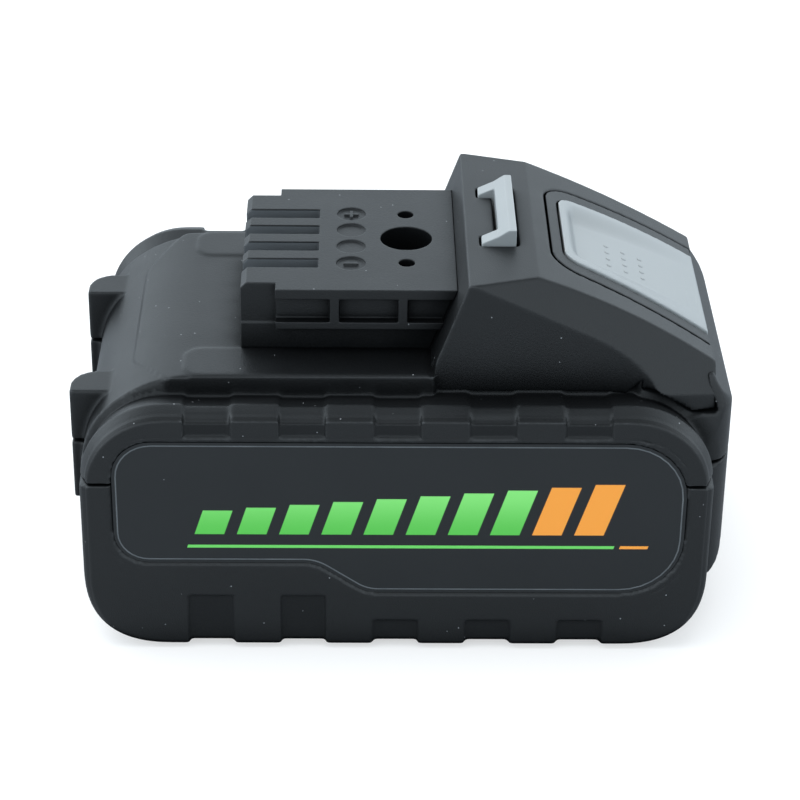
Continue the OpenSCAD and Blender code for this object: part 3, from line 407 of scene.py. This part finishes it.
# %% Soft steps, and how far a point is from the label
MARGIN_LOW, MARGIN_HIGH, MARGIN_IN = 9 * MM, 45 * MM, 0.2 * MM
MARGIN_OUT, NARROW_ABOVE, NARROW_OUT = 1.4 * MM, 43 * MM, 1.05 * MM


def ease(t):
    t = np.clip(t, 0, 1)
    return t * t * (3 - 2 * t)


def eased(v, start, run):
    return ease((v - start) / run)


def from_label(x, z):
    at = np.stack([x, z], 1)
    near, inside = np.full(len(at), 1.0), np.zeros(len(at), bool)
    for a, b in zip(LABEL_RING, np.roll(LABEL_RING, -1, 0)):
        t = np.clip(((at - a) @ (b - a)) / max((b - a) @ (b - a), TINY), 0, 1)
        near = np.minimum(near, np.linalg.norm(at - a - t[:, None] * (b - a), axis=1))
        if a[1] != b[1]:
            cross = (a[1] > z) != (b[1] > z)
            inside ^= cross & (x < (b[0] - a[0]) * (z - a[1]) / (b[1] - a[1]) + a[0])
    return np.where(inside, -near, near)


def label_margin(x, wide, z):
    band = np.flatnonzero((wide > SUNK_FROM) & (z > MARGIN_LOW) & (z < MARGIN_HIGH))
    gap = from_label(x[band], z[band])
    reach = np.where(z[band] > NARROW_ABOVE, NARROW_OUT, MARGIN_OUT)
    return band[(gap > MARGIN_IN) & (gap < reach)]


# %% [markdown]
# The side plate's corners are arcs. Above its middle a point drops along the arc's radius into the
# gutter, and below it a point swells outwards along the radius of the lower arc.

# %% The small forms of the shells
DECK_Y = 28.0 * MM
PLATE_R, PLATE_BASE, PLATE_ENDS = 15 * MM, 33.5 * MM, (-56.75 * MM, 53.95 * MM)
GUTTER_Y = np.array([28.0, 28.4, 33.8, 35.9, 37.5]) * MM
GUTTER_DROP = np.array([1.4, 1.4, 0, 0.79, 0]) * MM
GUTTER_IN, GUTTER_OUT, GUTTER_SIDE = (45.5 * MM, 1.5 * MM), (48.8 * MM, 1.6 * MM), (DECK_Y, 0.3 * MM)
LEAN, LEAN_UP, LEAN_ALONG = 1.7 * MM, (44 * MM, 6 * MM), (50 * MM, 3 * MM)
SWELL, SWELL_OUT = 0.9 * MM, (10 * MM, 4 * MM)
TUCK_Y, TUCK = np.array([26.0, 27.6, 28.6, 31.0]) * MM, np.array([0, 1.25, 1.25, 0]) * MM
TUCK_IN, TUCK_OUT, TUCK_UP = (4.8 * MM, 0.8 * MM), (39.5 * MM, 2 * MM), (46.4 * MM, MM)


def shell_forms(mesh):
    co = points_of(mesh)[0]
    x, y, z = co.T.copy()
    wide = np.abs(y)
    margin = label_margin(x, wide, z)
    co[margin, 1] = np.sign(y[margin]) * FACE_Y

    side = x - np.clip(x, PLATE_ENDS[0] + PLATE_R, PLATE_ENDS[1] - PLATE_R)
    high, low = np.maximum(z - PLATE_BASE, 0), np.maximum(PLATE_R - z, 0)
    arm, foot = (np.maximum(np.hypot(side, rise), TINY) for rise in (high, low))
    up = PLATE_BASE + arm
    drop = np.interp(wide, GUTTER_Y, GUTTER_DROP) * (z > PLATE_BASE) * eased(wide, *GUTTER_SIDE)
    drop *= eased(up, *GUTTER_IN) * (1 - eased(up, *GUTTER_OUT))
    swell = SWELL * (2 * np.abs(side) * low / foot ** 2) ** 2 * eased(foot, *SWELL_OUT) * (wide > DECK_Y)
    lean = LEAN * eased(z, *LEAN_UP) * eased(x, *LEAN_ALONG)
    tuck = eased(x, *TUCK_IN) * (1 - eased(x, *TUCK_OUT)) * eased(z, *TUCK_UP)

    co[:, 0] += (swell / foot - drop / arm) * side - lean
    co[:, 1] -= np.sign(y) * tuck * np.interp(wide, TUCK_Y, TUCK)
    co[:, 2] -= drop * high / arm + swell * low / foot
    move_points(mesh, co)


# %% [markdown]
# The housing's side walls are only stretched downwards, so they stay upright and keep their shade.

# %% The small form of the housing
SKIRT, SKIRT_TOP, SKIRT_RUN = 3.4 * MM, 53.5 * MM, 2.8 * MM
SKIRT_Y, SKIRT_OUT = 24.5 * MM, (38 * MM, 4 * MM)


def housing_forms(mesh):
    co = points_of(mesh)[0]
    x, y, z = co.T
    low = ease((SKIRT_TOP - z) / SKIRT_RUN) * (np.abs(y) > SKIRT_Y) * (1 - eased(x, *SKIRT_OUT))
    co[:, 2] -= SKIRT * low
    move_points(mesh, co)


# %% [markdown]
# ## The case, the rail block and the housing
#
# The two shells are the big mouldings, so 0.3 mm voxels are fine enough. The rail block carries
# small recesses and slots, and the bezel is a narrow frame, so they take finer ones.

# %% The black mouldings
moulded("lower_shell", "case", case_black, voxel=0.3 * MM, faces=60000, shape=shell_forms)
moulded("upper_shell", "case", case_black, voxel=0.3 * MM, faces=80000, shape=shell_forms)
moulded("rail_block", "case", block_black, voxel=0.13 * MM, faces=70000, rounds=4)
moulded("latch_housing", "case", housing_black, voxel=0.25 * MM, faces=50000,
        shape=housing_forms)
moulded("button_bezel", "case", housing_black, voxel=0.16 * MM, faces=12000)

# %% [markdown]
# ## Light grey plastic for what the thumb touches
#
# The hook and the button are the same moulding compound in light grey. It is smoother than the case
# and slightly cool, with faint cloudy handling marks, and its edges are painted a little brighter as a
# painted highlight.

# %% The grey plastic
DARK_GREY, LIGHT_GREY = (0.222, 0.236, 0.240, 1), (0.250, 0.265, 0.269, 1)
EDGE_HIGHLIGHT_GREY, MARK_GREY = (0.33, 0.35, 0.355, 1), (0.2, 0.21, 0.22, 1)


def grey_plastic():
    f = Finish("latch grey plastic")
    grain, cloud = f.noise(0.3 * MM, 1.0), f.noise(6 * MM, 3.0)
    # Painted highlight: every edge of the grey plastic is painted a little lighter.
    colour = f.edge().rise(0.2, 0.9).blend(cloud.blend(DARK_GREY, LIGHT_GREY), EDGE_HIGHLIGHT_GREY)
    colour = f.specks(6 * MM, 0.14 * MM, 0.08).blend(colour, MARK_GREY)
    return f.put(colour, 0.36 + cloud * 0.08 + grain * 0.04, grain, 0.02 * MM, 0.4)


latch_grey = grey_plastic()
moulded("latch_slide", "latch", latch_grey, voxel=0.16 * MM, faces=12000)

# %% [markdown]
# ## The release button
#
# The thumb sits in a hollow that is deepest near the upper end and runs out towards the lower end.
# The solid has only a shallow step there, so the points of the rebuilt skin are moved: each is put at
# a depth under the slope's circle, which is the product of a fall along the pack and a soft curve
# across it. The outermost strip keeps its own rounded edge.

# %% Scoop the hollow into the button's skin
SLOPE_AT, SLOPE_R = (-33.984 * MM, -83.740 * MM), 162 * MM
PROUD, HOLLOW = 0.4 * MM, 2.0 * MM
PANEL_X, PANEL_END = 28.15 * MM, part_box("release_button")[1].x
HALF_MM, HALF_GAIN_MM = 12.2, 2.5
FALL, CURVE, RIM = (1.0 * MM, 2.4 * MM), (1.1 * MM, 5.0 * MM), (0.5 * MM, 0.5 * MM)
SKIN, FACING_UP = 0.3 * MM, 0.2


def along_panel(x):
    return (x - PANEL_X) / (PANEL_END - PANEL_X)


def half_width(x):
    return (HALF_MM + HALF_GAIN_MM * along_panel(x)) * MM


def hollow(x, y):
    fall = eased(x - PANEL_X, *FALL) * np.clip(1 - along_panel(x), 0, 1)
    return HOLLOW * fall * eased(half_width(x) - np.abs(y), *CURVE)


def scoop(mesh):
    co, normal = points_of(mesh)
    x, y, z = co.T.copy()
    out = np.hypot(x - SLOPE_AT[0], z - SLOPE_AT[1])
    from_rim = np.minimum(np.minimum(half_width(x) - np.abs(y), x - PANEL_X), PANEL_END - x)
    on_top = (out - SLOPE_R > -SKIN) & (normal[:, 2] > FACING_UP)
    wanted = SLOPE_R + PROUD - hollow(x, y)
    scale = 1 + np.where(on_top, eased(from_rim, *RIM), 0) * (wanted / out - 1)
    co[:, 0] = SLOPE_AT[0] + (x - SLOPE_AT[0]) * scale
    co[:, 2] = SLOPE_AT[1] + (z - SLOPE_AT[1]) * scale
    move_points(mesh, co)


moulded("release_button", "latch", latch_grey, voxel=0.2 * MM, faces=24000, shape=scoop)

# %% [markdown]
# ## Grip dots on the button
#
# Twelve low domes in three rows keep the thumb from slipping. Each is a ring-by-ring dome of its own
# points, set on the hollow along the slope's own direction, and all of them make one piece.

# %% Twelve low domes
DOTS_X, DOTS_Y = (36.95, 39.95, 42.95), (-5.4, -2.9, -0.4, 2.1)
DOT_R, DOT_TALL, DOT_SUNK = 0.5 * MM, 0.22 * MM, 0.04 * MM
DOT_RINGS, DOT_SIDES = 6, 16


def add_dome(shape, x, y):
    lean = math.asin((x - SLOPE_AT[0]) / SLOPE_R)
    out, across = Vector((math.sin(lean), 0, math.cos(lean))), Vector((0, 1, 0))
    side = Vector((math.cos(lean), 0, -math.sin(lean)))
    foot = Vector((SLOPE_AT[0], y, SLOPE_AT[1])) + out * (SLOPE_R + PROUD - hollow(x, y))
    rings = []
    for turn in range(DOT_RINGS):
        tilt = turn / (DOT_RINGS - 1) * math.pi / 2
        r, middle = DOT_R * math.cos(tilt), foot + out * (DOT_TALL * math.sin(tilt) - DOT_SUNK)
        rings.append([shape.verts.new(middle + r * (math.cos(a) * side + math.sin(a) * across))
                      for a in np.arange(DOT_SIDES) * math.tau / DOT_SIDES])
    for low, high in zip(rings, rings[1:]):
        for i in range(DOT_SIDES):
            on = (i + 1) % DOT_SIDES
            shape.faces.new((low[i], low[on], high[on], high[i]))
    shape.faces.new(reversed(rings[0]))


def grip_dots():
    shape = bmesh.new()
    for x in DOTS_X:
        for y in DOTS_Y:
            add_dome(shape, x * MM, y * MM)
    bmesh.ops.remove_doubles(shape, verts=shape.verts, dist=1e-7)
    mesh = bpy.data.meshes.new("button_grip_dots")
    shape.to_mesh(mesh)
    mesh.shade_smooth()
    dressed(mesh, latch_grey)
    piece = placed("button_grip_dots", mesh)
    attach(piece, "latch")
    return piece


print("grip dots:", len(grip_dots().data.polygons), "faces")

# %% [markdown]
# ## The film label
#
# A label like this is a dark printed film under a matt laminate. Its print is a plain charge gauge of
# slanted bars that grow from left to right, with two thin rules under it. A picture file could carry
# it, but sums on the place along and up the label stay sharp at any distance. The places of the print
# are in millimetres, and a bar is counted along the label after its slant is taken out. On the rear
# side the place along is turned round, so that its bars grow to the right as well.

# %% Paint the label with sums
SLANT, BAR_START, BAR_PITCH, BAR_SHARE = 0.32, 52, 7.4, 0.72
BAR_FOOT, BAR_TOP, BAR_GROWTH = 24.0, 28.4, 0.62
BEFORE_FIRST, BEFORE_ORANGE, AFTER_LAST = 0.5, 8.5, 10.5
RULE_LOW, RULE_HIGH, RULE_ENDS, ACCENT_ENDS = 21.2, 21.9, (-45, 30), (31, 36)
FILM_DARK, FILM_LIGHT = (0.0060, 0.0068, 0.0076, 1), (0.0085, 0.0095, 0.0105, 1)
GREEN_LOW, GREEN_HIGH = (0.105, 0.56, 0.075, 1), (0.26, 0.80, 0.19, 1)
RULE_GREEN, ORANGE = (0.16, 0.66, 0.12, 1), (1.0, 0.36, 0.045, 1)
FILM_DUST = (0.3, 0.31, 0.32, 1)


def label_film(facing):
    f = Finish("label film " + facing)
    x, _, z = f.axes()
    x = x if facing == "front" else 0 - x
    grain, cloud = f.noise(0.2 * MM, 1.0), f.noise(14 * MM, 3.0)
    along, height = (x - z * SLANT) / MM, z / MM
    count = (along + BAR_START) / BAR_PITCH
    step = count.math("FLOOR", count)
    bar = (count - step).band(0.0, BAR_SHARE, 0.02) * (step > BEFORE_FIRST) * (step < AFTER_LAST)
    bar = bar * height.band(BAR_FOOT, BAR_TOP + step * BAR_GROWTH, 0.15)
    line = height.band(RULE_LOW, RULE_HIGH, 0.1)
    rule, accent = (line * (along > low) * (along < high) for low, high in (RULE_ENDS, ACCENT_ENDS))
    ink = height.rise(24, 34).blend(GREEN_LOW, GREEN_HIGH)
    ink = (step > BEFORE_ORANGE).blend(ink, ORANGE)
    colour = bar.blend(cloud.blend(FILM_DARK, FILM_LIGHT), ink)
    colour = accent.blend(rule.blend(colour, RULE_GREEN), ORANGE)
    colour = f.specks(7 * MM, 0.14 * MM, 0.1).blend(colour, FILM_DUST)
    return f.put(colour, 0.38 + cloud * 0.06, grain, 0.006 * MM, 0.4)


for side in SIDES:
    dressed(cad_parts[side + "_label"].data, label_film(side))
    print(side, "label has its print")

# %% [markdown]
# ## The label's pale border
#
# A thin grey line runs round the label, just inside its edge. It is laid on as a strip of mesh: the
# label's outline is drawn in twice, and the two lines are bridged.

# %% Lay a strip along the label's outline
BORDER_FROM, BORDER_TO, BORDER_LIFT = 0.55 * MM, 0.80 * MM, 0.02 * MM
INK_DARK, INK_LIGHT = (0.055, 0.06, 0.065, 1), (0.13, 0.14, 0.145, 1)


def drawn_in(points, by):
    back, on = unit(points - np.roll(points, 1, 0)), unit(np.roll(points, -1, 0) - points)
    left = unit(np.stack([-(back + on)[:, 1], (back + on)[:, 0]], 1))
    square = np.stack([-on[:, 1], on[:, 0]], 1)
    return points + left * by / np.maximum((left * square).sum(1, keepdims=True), 0.5)


def border_ink():
    f = Finish("label border ink", rough=0.45)
    fade = f.noise(3 * MM, 2.0)
    return f.put(fade.blend(INK_DARK, INK_LIGHT), None, f.noise(0.2 * MM), 0.005 * MM, 0.4)


ink = border_ink()
for side in SIDES:
    points, flat = outline(side + "_label")
    n, lift = len(points), flat + (-BORDER_LIFT if side == "front" else BORDER_LIFT)
    verts = [(x, lift, z) for by in (BORDER_FROM, BORDER_TO) for x, z in drawn_in(points, by)]
    faces = [(i, (i + 1) % n, n + (i + 1) % n, n + i) for i in range(n)]
    mesh = bpy.data.meshes.new(side + "_label_border")
    mesh.from_pydata(verts, [], faces if side == "front" else [f[::-1] for f in faces])
    dressed(mesh, ink)
    strip = placed(side + "_label_border", mesh)
    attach(strip, "case")
    print(strip.name, "follows", n, "points")

# %% [markdown]
# ## What lies inside
#
# The cells, holders, straps and the board don't show on a closed pack, but the part is also used
# opened up, so each has its own finish. Most of them are one recipe: two shades mixed by noise of a
# real size, a roughness that follows it, and a little relief. A row below gives the name, the dark
# and the light shade, the noise in millimetres, the roughness, the relief in millimetres, and for
# metals a 1 and how the noise is stretched.

# %% One recipe for the inner pieces
RECIPES = {
    "cell_sleeve": ("cell sleeve film", (0.03, 0.14, 0.30), (0.05, 0.20, 0.38), 4, 0.32, 0.01),
    "inner_plastic": ("holder plastic", (0.05, 0.053, 0.057), (0.075, 0.08, 0.085), 2, 0.5, 0.02),
    "fish_paper": ("fibre paper", (0.42, 0.36, 0.22), (0.58, 0.52, 0.36), 0.9, 0.8, 0.03),
    "foam_pad": ("foam", (0.05, 0.052, 0.055), (0.09, 0.095, 0.10), 0.7, 0.95, 0.12),
    "nickel_strip": ("rolled nickel", (0.55, 0.53, 0.49), (0.68, 0.66, 0.61), 1.5, 0.34, 0.01,
                     1.0, (0.1, 1, 1)),
    "contact_metal": ("tinned copper", (0.60, 0.50, 0.40), (0.74, 0.66, 0.56), 1.2, 0.30, 0.01,
                      1.0, (0.3, 1, 1)),
    "chip_resin": ("chip resin", (0.010, 0.010, 0.011), (0.02, 0.02, 0.021), 0.5, 0.55, 0.01),
    "bead_resin": ("bead resin", (0.25, 0.09, 0.02), (0.38, 0.15, 0.04), 0.6, 0.3, 0.01),
    "screw_steel": ("black steel", (0.05, 0.05, 0.053), (0.14, 0.14, 0.145), 0.5, 0.38, 0.01, 1.0),
    "spring_steel": ("spring wire", (0.38, 0.38, 0.39), (0.52, 0.52, 0.53), 0.4, 0.3, 0.005, 1.0),
}


def inner_finish(name, dark, light, size, rough, depth, metal=0.0, stretch=(1, 1, 1)):
    f = Finish(name, metal=metal)
    broad, fine = f.noise(size * MM, 3.0, stretch), f.noise(size * MM / 6, 2.0, stretch)
    colour = broad.blend(dark + (1,), light + (1,))
    return f.put(colour, rough - 0.08 + broad * 0.12 + fine * 0.06, fine, depth * MM, 0.5)


finishes = {slot: inner_finish(*recipe) for slot, recipe in RECIPES.items()}
print("inner finishes:", len(finishes))

# %% [markdown]
# ## The board
#
# Solder resist lets the copper under it show as a slightly lighter green. A Voronoi pattern with
# square distance gives lanes that read as tracks.

# %% The board's green laminate
RESIST, OVER_COPPER = (0.006, 0.075, 0.030, 1), (0.014, 0.14, 0.055, 1)


def board_laminate():
    f = Finish("board laminate")
    lane = f.wire.node("ShaderNodeTexVoronoi", {"feature": "F1", "distance": "CHEBYCHEV"},
                       {"Vector": f.scaled(2.4 * MM), "Scale": 1.0, "Randomness": 0.6}, out="Distance")
    track = lane.rise(0.40, 0.44)
    return f.put(track.blend(RESIST, OVER_COPPER), 0.30 + f.noise(3 * MM) * 0.1, track, 0.03 * MM, 0.5)


finishes["board_laminate"] = board_laminate()
print("board:", finishes["board_laminate"].name)

# %% [markdown]
# ## Hand the finishes out
#
# Each finish goes to all nodes of the frame whose names start as listed. The nodes that a moulding
# replaces get theirs too, so that a solid looks right wherever it is shown by itself.

# %% Give every node of the frame its finish
PIECES = {
    "cell_sleeve": ["cell_"], "inner_plastic": ["front_cell_holder", "rear_cell_holder", "top_frame"],
    "fish_paper": ["front_sheet", "rear_sheet"], "foam_pad": ["floor_pad"], "nickel_strip": ["strap_"],
    "contact_metal": ["contact_clip_", "positive_lead", "negative_lead"], "board_laminate": ["circuit_board"],
    "chip_resin": ["board_chips"], "bead_resin": ["thermistor"], "spring_steel": ["latch_spring_"],
    "screw_steel": ["case_screws", "housing_screws", "block_screw", "board_screws"],
    "grey_plastic": ["release_button", "latch_slide"],
    "black_plastic": ["lower_shell", "upper_shell", "rail_block", "latch_housing", "button_bezel"],
}
finishes.update(black_plastic=case_black, grey_plastic=latch_grey)
given = len(SIDES)
for finish, starts in PIECES.items():
    for name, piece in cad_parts.items():
        if name.startswith(tuple(starts)):
            dressed(piece.data, finishes[finish])
            given += 1
print("nodes with a finish, with the labels:", given, "of", len(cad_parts))

# %% [markdown]
# ## The foam pad under the cells
#
# A strip of closed-cell foam keeps the cells from rattling. Foam that is cut and pressed is never a
# sharp plate: its sides pull in between the corners and its top is crowned, while it lies flat below.
# A grid of points with both curves in it gives that form inside the space that the solid has.

# %% A crowned pad
PULL_X, PULL_Y = 0.012, 0.02
RIM_SHARE, CROWN_POWER = 0.6, 8


def crowned_pad(node, steps=24):
    low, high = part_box(node)
    middle, half, tall = (low + high) / 2, (high - low) / 2, high.z - low.z
    shape, grid = bmesh.new(), {}
    for upper in (False, True):
        for i in range(steps + 1):
            for j in range(steps + 1):
                u, v = 2 * i / steps - 1, 2 * j / steps - 1
                x, y = u * (1 - PULL_X * (1 - v * v)), v * (1 - PULL_Y * (1 - u * u))
                crown = (1 - u ** CROWN_POWER) * (1 - v ** CROWN_POWER)
                z = tall * (RIM_SHARE + (1 - RIM_SHARE) * crown) if upper else 0
                at = (middle.x + half.x * x, middle.y + half.y * y, low.z + z)
                grid[upper, i, j] = shape.verts.new(at)
    for i in range(steps):
        for j in range(steps):
            for upper in (False, True):
                corners = ((i, j), (i + 1, j), (i + 1, j + 1), (i, j + 1))
                ring = [grid[upper, *corner] for corner in corners]
                shape.faces.new(ring if upper else ring[::-1])
    for k in range(steps):
        for a, b in (((k, 0), (k + 1, 0)), ((k + 1, steps), (k, steps)),
                     ((0, k + 1), (0, k)), ((steps, k), (steps, k + 1))):
            shape.faces.new((grid[False, *a], grid[False, *b], grid[True, *b], grid[True, *a]))
    mesh = bpy.data.meshes.new(node + "_foam")
    shape.to_mesh(mesh)
    mesh.shade_smooth()
    dressed(mesh, finishes["foam_pad"])
    piece = placed(node + "_foam", mesh)
    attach(piece, "case")
    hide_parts(node)
    print(piece.name, "is", round(tall / MM, 2), "mm thick")


crowned_pad("floor_pad")

# %% [markdown]
# ## Two coil springs
#
# Under the latch stand two compression springs. The frame holds them as plain tubes, so each is
# wound here: a ring of points is carried along a helix whose first and last turns lie flat.

# %% Wind the springs
FLAT_TURNS = (0.1, 0.8)


def coil(node, turns=5.0, wire=0.35 * MM, sides=8, steps=24):
    low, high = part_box(node)
    middle, r = (low + high) / 2, (high.x - low.x) / 2 - wire
    length, up = high.z - low.z, Vector((0, 0, 1))
    verts, faces, n = [], [], int(turns * steps) + 1
    for k in range(n):
        t = k / (n - 1)
        a, h = t * turns * math.tau, (length - 2 * wire) * eased(t, *FLAT_TURNS)
        out = Vector((math.cos(a), math.sin(a), 0))
        at = Vector((middle.x, middle.y, low.z + wire + h)) + out * r
        verts += [at + wire * (math.cos(b) * out + math.sin(b) * up)
                  for b in np.arange(sides) * math.tau / sides]
        if k:
            faces += [((k - 1) * sides + s, (k - 1) * sides + (s + 1) % sides,
                       k * sides + (s + 1) % sides, k * sides + s) for s in range(sides)]
    faces += [tuple(range(sides))[::-1], tuple(range((n - 1) * sides, n * sides))]
    mesh = bpy.data.meshes.new(node + "_coil")
    mesh.from_pydata(verts, [], faces)
    mesh.shade_smooth()
    dressed(mesh, finishes["spring_steel"])
    piece = placed(node + "_coil", mesh)
    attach(piece, "case")
    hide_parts(node)
    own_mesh(piece)
    print(piece.name, "stands", round(length / MM, 2), "mm tall")


coil("latch_spring_1")
coil("latch_spring_2")

# %% [markdown]
# ## The floor
#
# Black plastic shows the room more than itself, and the floor is part of that room. It looks pale,
# but reflections see it darker, as a matt table would be, so the upright sides stay dark. A Light
# Path node tells the two apart.

# %% A pale floor
PALE_LOW, PALE_HIGH = (0.93, 0.93, 0.93, 1), (0.95, 0.95, 0.95, 1)
DIM_FLOOR, GLOW, GLOW_SHARE = (0.31, 0.33, 0.35, 1), (1, 1, 1, 1), 0.55
FLOOR_R, FLOOR_SIDES, MOTTLE = 6.0, 96, 900.0


def floor_finish():
    material = bpy.data.materials.new("pale floor")
    material.use_nodes = True
    tree = material.node_tree
    tree.nodes.remove(tree.nodes["Principled BSDF"])
    start = Wire(tree)
    seen = start.node("ShaderNodeLightPath", out="Is Camera Ray")
    mottle = start.node("ShaderNodeTexNoise", None, {"Scale": MOTTLE, "Detail": 2.0})
    pale = start.node("ShaderNodeBsdfDiffuse", None, {"Color": mottle.blend(PALE_LOW, PALE_HIGH)})
    glow = start.node("ShaderNodeEmission", None, {"Color": GLOW, "Strength": 1.0})
    pale = start.node("ShaderNodeMixShader", None, {0: GLOW_SHARE, 1: pale, 2: glow})
    dim = start.node("ShaderNodeBsdfDiffuse", None, {"Color": DIM_FLOOR})
    mixed = start.node("ShaderNodeMixShader", None, {0: seen, 1: dim, 2: pale})
    tree.links.new(mixed.socket, tree.nodes["Material Output"].inputs["Surface"])
    return material


disc = bmesh.new()
bmesh.ops.create_circle(disc, cap_ends=True, segments=FLOOR_SIDES, radius=FLOOR_R)
floor_mesh = bpy.data.meshes.new("floor")
disc.to_mesh(floor_mesh)
dressed(floor_mesh, floor_finish())
floor = placed("floor", floor_mesh)
print("floor at z =", floor.location.z)

# %% [markdown]
# ## The room
#
# A bright, even room gives the greys of the deck and the rounded corners. It is set by direction
# alone: some more light from the left, less from the other sides, and a dimmer ceiling.

# %% The room, as brightness by direction
ROOM_LIGHT, ROOM_TINT, CEILING_DIM = 1.05, (0.88, 1.0, 1.09, 1), 0.55
FROM_LEFT, FROM_RIGHT, FROM_BACK, FROM_NEAR = 0.9, 0.45, 0.45, 0.32


def studio_room():
    room = bpy.data.worlds.new("studio")
    room.use_nodes = True
    tree = room.node_tree
    way = Wire(tree).node("ShaderNodeTexCoord", out="Generated")
    x, y, z = way.node("ShaderNodeSeparateXYZ", None, {0: way}).outputs()
    light = ROOM_LIGHT + (0 - x).rise(0.25, 0.9) * FROM_LEFT + x.rise(0.25, 0.9) * FROM_RIGHT
    light = light + y.rise(-0.2, 0.7) * FROM_BACK + (0 - y).rise(0.2, 0.8) * FROM_NEAR
    light = light * (1 - z.rise(0.55, 0.92) * CEILING_DIM)
    tree.links.new(light.socket, tree.nodes["Background"].inputs["Strength"])
    tree.nodes["Background"].inputs["Color"].default_value = ROOM_TINT
    return room


bpy.context.scene.world = studio_room()
bpy.context.scene.view_settings.view_transform = "Standard"
print("room:", bpy.context.scene.world.name)

# %% [markdown]
# ## One soft box
#
# A wide lamp overhead adds light from above. It is hidden from reflections, so it doesn't show in the
# plastic.

# %% One soft box overhead, which only lights
LAMP_AT, LAMP_AIM = Vector((-0.2, 0.1, 1.2)), Vector((0, 0, 0.03))
LAMP_SIZE, LAMP_POWER = 1.2, 16.0

lamp = bpy.data.lights.new("soft_box_top", "AREA")
lamp.size, lamp.energy = LAMP_SIZE, LAMP_POWER
soft_box = placed("soft_box_top", lamp)
soft_box.location = LAMP_AT
soft_box.rotation_euler = (LAMP_AIM - LAMP_AT).to_track_quat("-Z", "Y").to_euler()
soft_box.visible_glossy = False
print(soft_box.name, "has", LAMP_POWER, "W")
